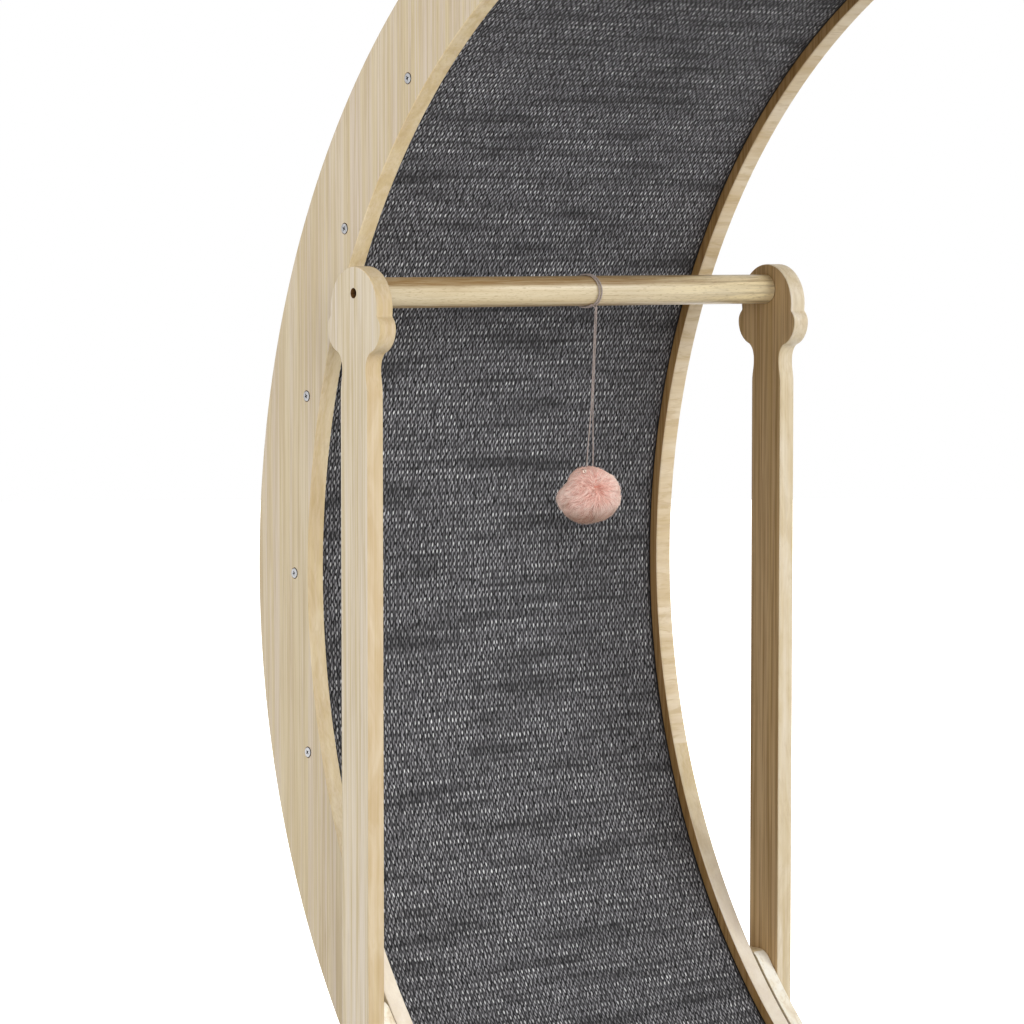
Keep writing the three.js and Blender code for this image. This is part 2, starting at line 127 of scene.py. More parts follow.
def drawLine(name, points):
    # one vertex pulled from point to point like a pen
    clearSelection()
    bpy.ops.mesh.primitive_plane_add(size=0.001, location=(0, 0, 0))
    piece = nameIt(bpy.context.object, name)
    startEdit(piece)
    bpy.ops.mesh.merge(type="CENTER")
    bpy.ops.transform.translate(value=points[0])
    for here, there in zip(points, points[1:]):
        step = Vector(there) - Vector(here)
        bpy.ops.mesh.extrude_vertices_move(TRANSFORM_OT_translate={"value": step})
    return piece


def sawBoard(name, outline, fromX, thickness):
    # an outline of (y, z) points made into a board
    points = [(fromX, y, z) for y, z in outline]
    piece = drawLine(name, points + points[:1])
    bpy.ops.mesh.select_all(action="SELECT")
    bpy.ops.mesh.remove_doubles(threshold=0.00001)
    bpy.ops.mesh.edge_face_add()
    bpy.ops.mesh.extrude_region_move(TRANSFORM_OT_translate={"value": (thickness, 0, 0)})
    bpy.ops.mesh.select_all(action="SELECT")
    bpy.ops.mesh.normals_make_consistent(inside=False)
    endEdit()
    return piece


def turn(name, profile, centre, axis="X", steps=48):
    # a profile of (along, radius) points turned about a line along X or Z
    centre = Vector(centre)
    if axis == "X":
        points = [centre + Vector((along, 0, radius)) for along, radius in profile]
        spindle = (1, 0, 0)
    else:
        points = [centre + Vector((radius, 0, along)) for along, radius in profile]
        spindle = (0, 0, 1)
    piece = drawLine(name, points)
    bpy.ops.mesh.select_all(action="SELECT")
    bpy.ops.mesh.spin(steps=steps, angle=2 * pi, center=centre, axis=spindle)
    bpy.ops.mesh.select_all(action="SELECT")
    bpy.ops.mesh.remove_doubles(threshold=0.000004)
    bpy.ops.mesh.normals_make_consistent(inside=False)
    endEdit()
    return piece


def arc(centreY, centreZ, radius, start, end, steps):
    return [(centreY + radius * math.cos(start + (end - start) * i / steps),
             centreZ + radius * math.sin(start + (end - start) * i / steps)) for i in range(steps + 1)]


def bezier(a, b, c, d, steps):
    points = []
    for i in range(steps + 1):
        t = i / steps
        s = 1 - t
        points.append(tuple(s * s * s * a[k] + 3 * s * s * t * b[k] + 3 * s * t * t * c[k] + t * t * t * d[k]
                            for k in (0, 1)))
    return points


def withoutRepeats(points):
    kept = []
    for point in points:
        if not kept or math.dist(kept[-1], point) > 0.00008:
            kept.append(point)
    if math.dist(kept[0], kept[-1]) < 0.00008:
        kept.pop()
    return kept


def finishPiece(piece, body, slot, *nodes):
    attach(piece, body)
    if nodes:
        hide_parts(*nodes)
    return piece


# camera: a long lens from the left front, a little above the bar

cameraSettings = {"place": (-1.5763, -1.7428, 0.7529), "tilt": 86.014, "heading": -36.084, "lens": 139.05}

bpy.ops.object.camera_add(location=cameraSettings["place"],
                          rotation=(math.radians(cameraSettings["tilt"]), 0, math.radians(cameraSettings["heading"])))
camera = bpy.context.object
camera.data.lens = cameraSettings["lens"]
camera.data.sensor_width = 36
camera.data.clip_start = 0.05
camera.data.clip_end = 100
bpy.context.scene.camera = camera
print("camera set")


# materials

def paint(red, green, blue):
    # a colour as it looks on the screen, 0 to 255
    def linear(value):
        value = value / 255
        return value / 12.92 if value <= 0.04045 else ((value + 0.055) / 1.055) ** 2.4
    return (linear(red), linear(green), linear(blue), 1)


def put(tree, kind, sockets=None, **settings):
    made = tree.nodes.new(kind)
    for key, value in settings.items():
        setattr(made, key, value)
    for key, value in (sockets or {}).items():
        if isinstance(value, bpy.types.NodeSocket):
            tree.links.new(value, made.inputs[key])
        else:
            made.inputs[key].default_value = value
    return made


def calc(tree, operation, a, b=0.0, clamp=False):
    return put(tree, "ShaderNodeMath", {0: a, 1: b}, operation=operation, use_clamp=clamp).outputs[0]


def blendColours(tree, factor, a, b, how="MIX"):
    made = put(tree, "ShaderNodeMix", {0: factor, 6: a, 7: b}, data_type="RGBA", blend_type=how)
    return made.outputs[2]


def ramp(tree, factor, stops):
    made = put(tree, "ShaderNodeValToRGB", {"Fac": factor})
    elements = made.color_ramp.elements
    while len(elements) < len(stops):
        elements.new(0.5)
    for element, (place, colour) in zip(elements, stops):
        element.position = place
        element.color = colour if len(colour) == 4 else (*colour, 1)
    return made.outputs["Color"]


def spanOf(tree, value, low, high):
    made = put(tree, "ShaderNodeMapRange", {"Value": value, "From Min": low, "From Max": high})
    return made.outputs["Result"]


def blankMaterial(name):
    material = bpy.data.materials.new(name)
    material.use_nodes = True
    shader = material.node_tree.nodes["Principled BSDF"]
    return material, material.node_tree, shader


def stretched(tree, scale, turn=(0, 0, 0), shift=(0, 0, 0)):
    coords = put(tree, "ShaderNodeTexCoord").outputs["Object"]
    return put(tree, "ShaderNodeMapping", {"Vector": coords, "Location": shift, "Rotation": turn,
                                           "Scale": scale}).outputs["Vector"]


def noiseOn(tree, vector, scale, detail=3.0, rough=0.55, warp=0.0):
    return put(tree, "ShaderNodeTexNoise", {"Vector": vector, "Scale": scale, "Detail": detail,
                                            "Roughness": rough, "Distortion": warp}).outputs["Fac"]


woodLook = {
    "light": (205, 193, 172),
    "warm": (195, 179, 145),
    "rosy": (197, 183, 166),
    "streak": (175, 156, 124),
    "pore": (153, 131, 97),
}
postLook = {"light": (212, 202, 186), "warm": (204, 191, 167), "rosy": (205, 194, 180),
            "streak": (180, 162, 126), "pore": (168, 149, 116)}
# painted shade: a darker, browner copy of the wood look, for faces in the wheel's shade and for bores
shadeLook = {"light": (212, 182, 139), "warm": (186, 154, 105), "rosy": (194, 163, 122),
             "streak": (145, 113, 69), "pore": (119, 90, 52)}


def woodColours(tree, grain, look, shift=(0, 0, 0), contrast=1.0):
    # fine straight grain: long streaks of two tones, thin lines and small dark pores
    along = {"X": (0.02, 1, 1), "Y": (1, 0.02, 1), "Z": (1, 1, 0.02)}[grain]
    long = {"X": (0.006, 1, 1), "Y": (1, 0.006, 1), "Z": (1, 1, 0.006)}[grain]
    softly = {"X": (0.15, 1, 1), "Y": (1, 0.15, 1), "Z": (1, 1, 0.15)}[grain]
    broad = noiseOn(tree, stretched(tree, long, shift=shift), 170, 3.0, 0.7, 0.3)
    fine = noiseOn(tree, stretched(tree, along, shift=shift), 330, 4.0, 0.62, 0.15)
    thin = noiseOn(tree, stretched(tree, long, shift=shift), 820, 2.0, 0.6)
    hair = noiseOn(tree, stretched(tree, along, shift=shift), 1250, 2.0, 0.6)
    cloud = noiseOn(tree, stretched(tree, softly, shift=shift), 26, 2.0, 0.5)
    base = blendColours(tree, spanOf(tree, broad, 0.44, 0.56), paint(*look["rosy"]), paint(*look["warm"]))
    base = blendColours(tree, calc(tree, "MULTIPLY", spanOf(tree, cloud, 0.42, 0.68), 0.5), base,
                        paint(*look["light"]))
    lines = ramp(tree, fine, [(0.38, (1, 1, 1)), (0.5, (0.25, 0.25, 0.25)), (0.62, (0, 0, 0))])
    base = blendColours(tree, calc(tree, "MULTIPLY", lines, 0.7 * contrast), base, paint(*look["streak"]))
    base = blendColours(tree, calc(tree, "MULTIPLY", spanOf(tree, thin, 0.54, 0.62), 0.7 * contrast), base,
                        paint(*look["streak"]))
    pores = spanOf(tree, hair, 0.63, 0.72)
    base = blendColours(tree, calc(tree, "MULTIPLY", pores, 0.45), base, paint(*look["pore"]))
    height = calc(tree, "SUBTRACT", calc(tree, "MULTIPLY", fine, 0.6), calc(tree, "MULTIPLY", pores, 0.25))
    return base, fine, height


def woodMaterial(name, grain="Z", look=woodLook, shift=(0, 0, 0), tint=None, contrast=1.0):
    material, tree, shader = blankMaterial(name)
    colour, fine, height = woodColours(tree, grain, look, shift, contrast)
    if tint:
        colour = blendColours(tree, 1.0, colour, paint(*tint), "MULTIPLY")
    bump = put(tree, "ShaderNodeBump", {"Height": height, "Strength": 0.35, "Distance": 0.0002})
    tree.links.new(colour, shader.inputs["Base Color"])
    tree.links.new(bump.outputs["Normal"], shader.inputs["Normal"])
    tree.links.new(spanOf(tree, fine, 1.4, -0.4), shader.inputs["Roughness"])
    shader.inputs["Specular IOR Level"].default_value = 0.32
    return material


def edgeMaterial(name, grain="Z", look=woodLook, swirl=(1, 1, 0.28), lines=0.4, pale=(236, 218, 180),
                 gold=(220, 196, 148), low=None, ripples=0.32):
    # sawn and sanded edge: the grain shows less, and golden blotches swirl over it
    material, tree, shader = blankMaterial(name)
    grained, fine, rough = woodColours(tree, grain, look, (0.3, 0.1, 0.7))
    blotch = noiseOn(tree, stretched(tree, swirl), 62, 3.0, 0.55, 0.9)
    ripple = noiseOn(tree, stretched(tree, swirl), 190, 3.0, 0.6, 1.2)
    colour = blendColours(tree, spanOf(tree, blotch, 0.36, 0.56), paint(*pale), paint(*gold))
    colour = blendColours(tree, calc(tree, "MULTIPLY", spanOf(tree, blotch, 0.54, 0.68), 0.45), colour,
                          paint(192, 160, 104))
    colour = blendColours(tree, calc(tree, "MULTIPLY", spanOf(tree, ripple, 0.52, 0.66), ripples), colour,
                          paint(196, 168, 118))
    colour = blendColours(tree, lines, colour, grained)
    if low:
        # painted light: the lowest part of the edge, which faces up, is made paler as if lit from above
        height = put(tree, "ShaderNodeSeparateXYZ", {0: put(tree, "ShaderNodeTexCoord").outputs["Object"]}).outputs[2]
        colour = blendColours(tree, spanOf(tree, height, low[0], low[1]), colour, paint(*low[2]), "SCREEN")
    bump = put(tree, "ShaderNodeBump", {"Height": rough, "Strength": 0.3, "Distance": 0.0002})
    tree.links.new(colour, shader.inputs["Base Color"])
    tree.links.new(bump.outputs["Normal"], shader.inputs["Normal"])
    tree.links.new(spanOf(tree, fine, 1.5, -0.6), shader.inputs["Roughness"])
    shader.inputs["Specular IOR Level"].default_value = 0.3
    return material


def steelMaterial(name, colour=(196, 198, 200), roughness=0.34):
    material, tree, shader = blankMaterial(name)
    cloud = noiseOn(tree, stretched(tree, (1, 1, 1)), 420, 4.0)
    scratch = noiseOn(tree, stretched(tree, (0.1, 1, 1)), 2600, 2.0)
    tone = blendColours(tree, spanOf(tree, cloud, 0.3, 0.7), paint(*[c * 0.86 for c in colour]), paint(*colour))
    bump = put(tree, "ShaderNodeBump", {"Height": scratch, "Strength": 0.15, "Distance": 0.0001})
    tree.links.new(tone, shader.inputs["Base Color"])
    tree.links.new(bump.outputs["Normal"], shader.inputs["Normal"])
    tree.links.new(spanOf(tree, cloud, (0.5 - roughness) * -4, 2.6), shader.inputs["Roughness"])
    shader.inputs["Metallic"].default_value = 1
    return material


def mouldedMaterial(name, colour, roughness, grainSize=2200, depth=0.0001):
    # moulded nylon or rubber with a fine eroded skin and faint flow marks
    material, tree, shader = blankMaterial(name)
    skin = noiseOn(tree, stretched(tree, (1, 1, 1)), grainSize, 3.0)
    flow = noiseOn(tree, stretched(tree, (1, 1, 1)), 90, 3.0, 0.6, 0.6)
    tone = blendColours(tree, spanOf(tree, flow, 0.3, 0.7), paint(*colour), paint(*[c * 1.35 + 3 for c in colour]))
    bump = put(tree, "ShaderNodeBump", {"Height": skin, "Strength": 0.35, "Distance": depth})
    tree.links.new(tone, shader.inputs["Base Color"])
    tree.links.new(bump.outputs["Normal"], shader.inputs["Normal"])
    tree.links.new(calc(tree, "ADD", calc(tree, "MULTIPLY", skin, 0.2), roughness - 0.1), shader.inputs["Roughness"])
    return material


matWeave = {"rowPitch": 2.8054 / 610, "columnPitch": 0.2796 / 81, "slant": 0.13, "gap": (12, 12, 13),
            "fill": (88, 87, 90), "dim": (135, 134, 138), "bright": (242, 242, 243), "drift": 0.5}


def stitches(tree, along, across, shift, half, chanceShift):
    # slanted ovals, one to a cell, and the numbers drawn for each cell
    row = calc(tree, "FLOOR", calc(tree, "ADD", along, shift))
    wander = put(tree, "ShaderNodeTexNoise", {"W": calc(tree, "MULTIPLY", row, 0.37), "Scale": 1.0, "Detail": 1.0},
                 noise_dimensions="1D").outputs["Fac"]
    across = calc(tree, "ADD", calc(tree, "ADD", across, shift), calc(tree, "MULTIPLY", wander, matWeave["drift"]))
    column = calc(tree, "FLOOR", across)
    cell = put(tree, "ShaderNodeCombineXYZ", {0: column, 1: row, 2: chanceShift}).outputs[0]
    drawn = put(tree, "ShaderNodeTexWhiteNoise", {"Vector": cell}, noise_dimensions="3D")
    chances = put(tree, "ShaderNodeSeparateColor", {0: drawn.outputs["Color"]})
    inColumn = calc(tree, "SUBTRACT", calc(tree, "FRACT", across), 0.5)
    inRow = calc(tree, "SUBTRACT", calc(tree, "FRACT", calc(tree, "ADD", along, shift)), 0.5)
    lean = calc(tree, "MULTIPLY", calc(tree, "ADD", chances.outputs[0], 0.3), matWeave["slant"])
    inColumn = calc(tree, "SUBTRACT", inColumn, calc(tree, "MULTIPLY", inRow, lean))
    inColumn = calc(tree, "ADD", inColumn, calc(tree, "MULTIPLY", calc(tree, "SUBTRACT", chances.outputs[1], 0.5), 0.34))
    wide = calc(tree, "POWER", calc(tree, "DIVIDE", inColumn, half[0]), 2.0)
    tall = calc(tree, "POWER", calc(tree, "DIVIDE", inRow, half[1]), 2.0)
    oval = calc(tree, "SUBTRACT", 1.0, calc(tree, "ADD", wide, tall), clamp=True)
    return calc(tree, "POWER", oval, 0.6), chances


def weaveMaterial(name):
    # flat-woven carpet: a bright slanted stitch in every cell over dimmer ones and loose fibre between
    material, tree, shader = blankMaterial(name)
    flat = put(tree, "ShaderNodeUVMap", uv_map="matWeave").outputs["UV"]
    parts = put(tree, "ShaderNodeSeparateXYZ", {0: flat})
    waver = noiseOn(tree, flat, 60, 2.0)
    along = calc(tree, "DIVIDE", parts.outputs[0], matWeave["rowPitch"])
    along = calc(tree, "ADD", along, calc(tree, "MULTIPLY", waver, 0.6))
    across = calc(tree, "DIVIDE", parts.outputs[1], matWeave["columnPitch"])
    across = calc(tree, "ADD", across, calc(tree, "MULTIPLY", noiseOn(tree, flat, 130, 2.0), 0.5))
    first, firstChances = stitches(tree, along, across, 0.0, (0.185, 0.36), 0.0)
    second, secondChances = stitches(tree, along, across, 0.5, (0.15, 0.43), 7.0)
    bandAt = put(tree, "ShaderNodeMapping", {"Vector": flat, "Scale": (0.8 / matWeave["rowPitch"], 16, 1)})
    band = spanOf(tree, noiseOn(tree, bandAt.outputs["Vector"], 1.0, 2.0), 0.34, 0.66)
    fibreAt = put(tree, "ShaderNodeMapping", {"Vector": flat, "Rotation": (0, 0, 0.12), "Scale": (170, 1250, 1)})
    fibre = noiseOn(tree, fibreAt.outputs["Vector"], 1.0, 3.0, 0.6)
    hairAt = put(tree, "ShaderNodeMapping", {"Vector": flat, "Scale": (500, 3200, 1)})
    hair = spanOf(tree, noiseOn(tree, hairAt.outputs["Vector"], 1.0, 2.0), 0.3, 0.7)
    colour = blendColours(tree, spanOf(tree, fibre, 0.44, 0.62), paint(*matWeave["gap"]), paint(*matWeave["fill"]))
    dim = blendColours(tree, secondChances.outputs[2], paint(*[c * 0.62 for c in matWeave["dim"]]),
                       paint(*[c * 1.25 for c in matWeave["dim"]]))
    colour = blendColours(tree, calc(tree, "MULTIPLY", second, 0.9), colour, dim)
    light = calc(tree, "MULTIPLY", calc(tree, "POWER", firstChances.outputs[2], 1.0), calc(tree, "ADD", calc(tree, "MULTIPLY", band, 1.3), 0.1))
    light = calc(tree, "MULTIPLY", light, calc(tree, "ADD", calc(tree, "MULTIPLY", hair, 0.5), 0.5), clamp=True)
    yarn = blendColours(tree, light, paint(*matWeave["dim"]), paint(*matWeave["bright"]))
    colour = blendColours(tree, first, colour, yarn)
    dullAt = put(tree, "ShaderNodeMapping", {"Vector": flat, "Scale": (0.42 / matWeave["rowPitch"], 9, 1)})
    dull = spanOf(tree, noiseOn(tree, dullAt.outputs["Vector"], 1.0, 2.0), 0.5, 0.66)
    colour = blendColours(tree, calc(tree, "MULTIPLY", dull, 0.55), colour, paint(30, 30, 31))
    # painted shade: the mat darkens to near black along its edges, where it meets the rings
    ringShadeReach = calc(tree, "MINIMUM", parts.outputs[1], calc(tree, "SUBTRACT", 0.2796, parts.outputs[1]))
    colour = blendColours(tree, spanOf(tree, ringShadeReach, 0.0018, 0.0006), colour, paint(20, 20, 21))
    height = calc(tree, "MAXIMUM", first, calc(tree, "MULTIPLY", second, 0.7))
    height = calc(tree, "ADD", height, calc(tree, "MULTIPLY", hair, 0.15))
    bump = put(tree, "ShaderNodeBump", {"Height": height, "Strength": 0.7, "Distance": 0.0005})
    tree.links.new(colour, shader.inputs["Base Color"])
    tree.links.new(bump.outputs["Normal"], shader.inputs["Normal"])
    shader.inputs["Roughness"].default_value = 0.85
    shader.inputs["Specular IOR Level"].default_value = 0.2
    return material


def stringMaterial(name):
    material, tree, shader = blankMaterial(name)
    fuzz = noiseOn(tree, stretched(tree, (1, 1, 0.35)), 2600, 3.0)
    slow = noiseOn(tree, stretched(tree, (1, 1, 1)), 160, 2.0)
    tone = ramp(tree, fuzz, [(0.3, paint(134, 120, 115)), (0.55, paint(164, 151, 145)), (0.75, paint(194, 183, 177))])
    tone = blendColours(tree, calc(tree, "MULTIPLY", slow, 0.35), tone, paint(160, 146, 140))
    bump = put(tree, "ShaderNodeBump", {"Height": fuzz, "Strength": 0.5, "Distance": 0.0001})
    tree.links.new(tone, shader.inputs["Base Color"])
    tree.links.new(bump.outputs["Normal"], shader.inputs["Normal"])
    shader.inputs["Roughness"].default_value = 0.8
    return material


def furMaterial(name):
    # stronger pink at the roots and in the parting, pale tips, each strand a little different, and painted shade
    # underneath and along a crease
    material, tree, shader = blankMaterial(name)
    share = put(tree, "ShaderNodeAttribute", attribute_name="furShare").outputs["Fac"]
    own = put(tree, "ShaderNodeAttribute", attribute_name="furTone").outputs["Fac"]
    parting = put(tree, "ShaderNodeAttribute", attribute_name="furParting").outputs["Fac"]
    paintedFurShade = put(tree, "ShaderNodeAttribute", attribute_name="furPaintedShade").outputs["Fac"]
    tone = ramp(tree, share, [(0.0, paint(222, 150, 132)), (0.35, paint(242, 190, 174)),
                              (0.75, paint(255, 223, 211)), (1.0, paint(255, 240, 232))])
    tone = blendColours(tree, calc(tree, "MULTIPLY", parting, 0.5), tone, paint(252, 184, 166))
    patch = noiseOn(tree, stretched(tree, (1, 1, 1)), 150, 2.0)
    tone = blendColours(tree, calc(tree, "MULTIPLY", spanOf(tree, patch, 0.5, 0.72), 0.45), tone,
                        paint(236, 178, 160))
    tone = blendColours(tree, calc(tree, "MULTIPLY", spanOf(tree, own, 0.6, 0.9), 0.65), tone, paint(255, 240, 230))
    tone = blendColours(tree, calc(tree, "MULTIPLY", spanOf(tree, own, 0.42, 0.15), 0.65), tone, paint(202, 136, 118))
    # painted shade: strands underneath and in the crease are darkened
    tone = blendColours(tree, paintedFurShade, tone, paint(196, 178, 166), "MULTIPLY")
    tree.links.new(tone, shader.inputs["Base Color"])
    shader.inputs["Roughness"].default_value = 0.6
    shader.inputs["Sheen Weight"].default_value = 1.0
    shader.inputs["Sheen Roughness"].default_value = 0.4
    shader.inputs["Sheen Tint"].default_value = paint(255, 238, 220)
    shader.inputs["Specular IOR Level"].default_value = 0.3
    return material


plyLook = {"light": (201, 172, 128), "warm": (190, 158, 112), "rosy": (196, 166, 124),
           "streak": (160, 126, 84), "pore": (132, 100, 64)}
battenLook = {"light": (222, 196, 146), "warm": (210, 180, 128), "rosy": (214, 186, 140),
              "streak": (184, 150, 98), "pore": (160, 124, 78)}

faceWood = woodMaterial("face_wood", "Z")
# painted light: the ring rim is made paler towards the bottom
sideEdgeWood = edgeMaterial("edge_wood", "Z", low=(0.36, 0.29, (160, 158, 160)))
longWood = woodMaterial("long_wood", "Y")
longEdgeWood = edgeMaterial("long_edge_wood", "Y")
# painted light: the cheeks' hollow edges, which face up, are made near white as if lit from above
litHollowEdgeWood = edgeMaterial("lit_hollow_edge_wood", "Y", lines=0.15, pale=(255, 252, 242), gold=(253, 245, 226))
crossWood = woodMaterial("cross_wood", "X")
crossEdgeWood = edgeMaterial("cross_edge_wood", "X", swirl=(0.22, 1, 1), lines=0.3, pale=(236, 219, 190),
                             gold=(222, 200, 162), ripples=0.6)
postWood = woodMaterial("post_wood", "Z", look=postLook)
paleEdgeWood = edgeMaterial("pale_edge_wood", "Z", look=postLook, pale=(246, 232, 206), gold=(232, 212, 172), lines=0.5)
# painted shade: a darker copy of the post's edge finish, for the left post's edges that lie in shade
shadedNearEdgeWood = edgeMaterial("shaded_near_edge_wood", "Z", pale=(213, 193, 157), gold=(196, 170, 124))
# painted shade: shaded copies of the wood for the right post's and right ring's faces that turn toward the wheel
shadedInnerWood = woodMaterial("inner_wood", "Z", look=shadeLook)
shadedRingInnerWood = woodMaterial("shaded_ring_inner_wood", "Z", look=shadeLook, tint=(222, 210, 190))
# painted shade: a near-black brown for the walls of bores and screw holes
shadedBoreWood = woodMaterial("shaded_bore_wood", "X", look=shadeLook, tint=(132, 108, 78))
linerPly = woodMaterial("liner_ply", "X", look=plyLook)
battenWood = woodMaterial("batten_wood", "X", look=battenLook)
zincSteel = steelMaterial("zinc_steel")
screwSteel = steelMaterial("screw_steel", (176, 176, 178), 0.36)
# painted shade: near-black steel for the inside of the screw slots
shadedSlotSteel = steelMaterial("shaded_slot_steel", (26, 26, 28), 0.5)
darkSteel = steelMaterial("shield_steel", (120, 122, 126), 0.42)
brassTie = steelMaterial("brass_tie", (232, 212, 196), 0.3)
blackNylon = mouldedMaterial("black_nylon", (44, 45, 48), 0.48)
footRubber = mouldedMaterial("foot_rubber", (34, 34, 35), 0.8, 1500, 0.0002)
wovenCarpet = weaveMaterial("woven_carpet")
toyString = stringMaterial("toy_string")
pinkFur = furMaterial("pink_fur")
print("materials mixed")


# the string and the knot

stringShape = {"diameter": 0.0014, "ply": 3, "twist": 0.0032, "turns": 2, "stepsPerTurn": 24, "pitch": 0.002,
               "slant": 0.00285, "spacing": 0.0012, "spread": 0.0051, "split": 0.55, "runningGap": 0.0003,
               "strand": 0.001}
toyX = 0.0114
barCentre = Vector((0, 0.34921, 0.71693))
barRadius = 0.00995
knotAngle = math.radians(236)
knotRadius = 0.002
knotReach = barRadius + 2 * stringShape["runningGap"] + stringShape["diameter"] + knotRadius
knotPlace = Vector((toyX, barCentre.y + knotReach * math.cos(knotAngle), barCentre.z + knotReach * math.sin(knotAngle)))
pompomSize = {"width": 0.0424, "height": 0.0373, "drop": 0.1357}
pompomCentre = Vector((toyX, barCentre.y, barCentre.z - pompomSize["drop"]))


def laidString(name, points, thickness):
    # three plies twisted together, laid along the points
    radius = thickness * 0.45
    clearSelection()
    bpy.ops.curve.primitive_nurbs_circle_add(radius=radius)
    section = bpy.context.object
    section.data.splines.clear()
    outline = section.data.splines.new("POLY")
    corners = stringShape["ply"] * 4
    outline.points.add(corners - 1)
    for i, point in enumerate(outline.points):
        angle = 2 * pi * i / corners
        reach = radius * (0.86 + 0.14 * math.cos(stringShape["ply"] * angle))
        point.co = (reach * math.cos(angle), reach * math.sin(angle), 0, 1)
    outline.use_cyclic_u = True
    bpy.ops.curve.primitive_nurbs_path_add(location=(0, 0, 0))
    piece = bpy.context.object
    piece.data.splines.clear()
    line = piece.data.splines.new("POLY")
    dense = []
    for here, there in zip(points, points[1:]):
        steps = max(1, round((there - here).length / 0.00045))
        dense += [here.lerp(there, i / steps) for i in range(steps)]
    dense.append(points[-1])
    line.points.add(len(dense) - 1)
    gone = 0.0
    for i, point in enumerate(line.points):
        if i:
            gone += (dense[i] - dense[i - 1]).length
        point.co = (*dense[i], 1)
        point.tilt = 2 * pi * gone / stringShape["twist"]
    piece.data.dimensions = "3D"
    piece.data.twist_mode = "MINIMUM"
    piece.data.bevel_mode = "OBJECT"
    piece.data.bevel_object = section
    piece.data.use_fill_caps = True
    pick(piece)
    bpy.ops.object.convert(target="MESH")
    piece = nameIt(bpy.context.object, name)
    bpy.data.objects.remove(section)
    startEdit(piece)
    bpy.ops.mesh.remove_doubles(threshold=0.000002)
    bpy.ops.mesh.normals_make_consistent(inside=False)
    endEdit()
    piece.data.materials.clear()
    piece.data.materials.append(toyString)
    smooth(piece, 70)
    return piece


def loopRoute():
    radius = barRadius + stringShape["runningGap"] + stringShape["diameter"] / 2
    points = []
    for step in range(stringShape["turns"] * stringShape["stepsPerTurn"] + 1):
        turns = step / stringShape["stepsPerTurn"]
        angle = knotAngle + 2 * pi * turns
        points.append(Vector((
            toyX + stringShape["pitch"] * (turns - stringShape["turns"]) - stringShape["slant"] * math.cos(angle),
            barCentre.y + radius * math.cos(angle),
            barCentre.z + radius * math.sin(angle))))
    return points


def pompomTopAt(x):
    share = x / (pompomSize["width"] / 2)
    return -pompomSize["drop"] + pompomSize["height"] / 2 * math.sqrt(1 - share * share)


def strandRoute(sign):
    knotY = knotPlace.y - barCentre.y
    knotZ = knotPlace.z - barCentre.z
    topZ = knotZ - knotRadius - stringShape["runningGap"]
    endX = sign * stringShape["spread"] / 2
    endZ = pompomTopAt(endX) + stringShape["runningGap"]
    points = []
    for station in range(25):
        share = station / 24
        z = topZ + (endZ - topZ) * share
        opening = min(1, max(0, (share - stringShape["split"]) / (1 - stringShape["split"])))
        opening = opening * opening * (3 - 2 * opening)
        x = sign * stringShape["spacing"] / 2
        x += (endX - x) * opening
        y = knotY * ((z + pompomSize["drop"]) / (knotZ + pompomSize["drop"]))
        points.append(Vector((toyX + x, barCentre.y + y, barCentre.z + z)))
    return points


def tiedKnot():
    # the string's own loops pulled tight into a small ball
    clearSelection()
    bpy.ops.curve.primitive_nurbs_path_add(location=(0, 0, 0))
    piece = bpy.context.object
    piece.data.splines.clear()
    line = piece.data.splines.new("POLY")
    line.points.add(71)
    for i, point in enumerate(line.points):
        t = 2 * pi * i / 72
        reach = 0.00045 + 0.00026 * math.cos(3 * t)
        point.co = (knotPlace.x + reach * math.cos(2 * t), knotPlace.y + reach * math.sin(2 * t) * 0.9,
                    knotPlace.z + 0.0007 * math.sin(3 * t), 1)
    line.use_cyclic_u = True
    piece.data.dimensions = "3D"
    piece.data.bevel_depth = 0.00038
    piece.data.bevel_resolution = 3
    pick(piece)
    bpy.ops.object.convert(target="MESH")
    piece = nameIt(bpy.context.object, "tied_knot")
    piece.data.materials.append(toyString)
    smooth(piece, 80)
    # both ends come down from the winding into the knot, and two strands leave it
    tails = [laidString("knot_tail", [end, end.lerp(knotPlace, 0.5), knotPlace], stringShape["strand"])
             for end in (loopPoints[0], loopPoints[-1])]
    tails += [laidString("knot_tail", [knotPlace, knotPlace.lerp(top, 0.5), top], stringShape["strand"])
              for top in (strandRoute(-1)[0], strandRoute(1)[0])]
    return joinAll([piece] + tails, "tied_knot")


loopPoints = loopRoute()
loopString = laidString("loop_string", loopPoints, stringShape["diameter"])
finishPiece(loopString, "toy_loop", "toy_string", "string_loop")
knotPiece = tiedKnot()
finishPiece(knotPiece, "toy_knot", "toy_string", "string_knot")
for label, sign in (("left", -1), ("right", 1)):
    route = strandRoute(sign)
    strand = laidString(f"hanging_string_{label}", route, stringShape["strand"])
    finishPiece(strand, "toy_drop", "toy_string", *(["string_drop"] if sign < 0 else []))
print("string laid")


# the pompom

pompomFur = {"strands": 21000, "thickness": 0.0003, "sweep": 0.52, "seed": 11, "core": 0.83, "dent": 0.2,
             "parting": ((0.16, 0.34), (0.5, -0.1)), "fall": (0.34, 0.24), "creaseShadow": (-0.62, -0.16)}
lookAcross = Vector((0.808, -0.589, 0))
lookAway = Vector((0.589, 0.808, 0))


def pompomReach(way):
    # the ball is pressed flat at its upper left and lumpy elsewhere
    across, up, away = way.dot(lookAcross), way.z, way.dot(lookAway)
    off = math.atan2(up, across) - math.radians(148)
    pressed = pompomFur["dent"] * math.exp(-(off / 0.42) ** 2) * (1 - away * away) ** 2
    return 1 - pressed + 0.035 * noise.noise(way * 2.2 + Vector((3.1, 0.4, 7.7)))


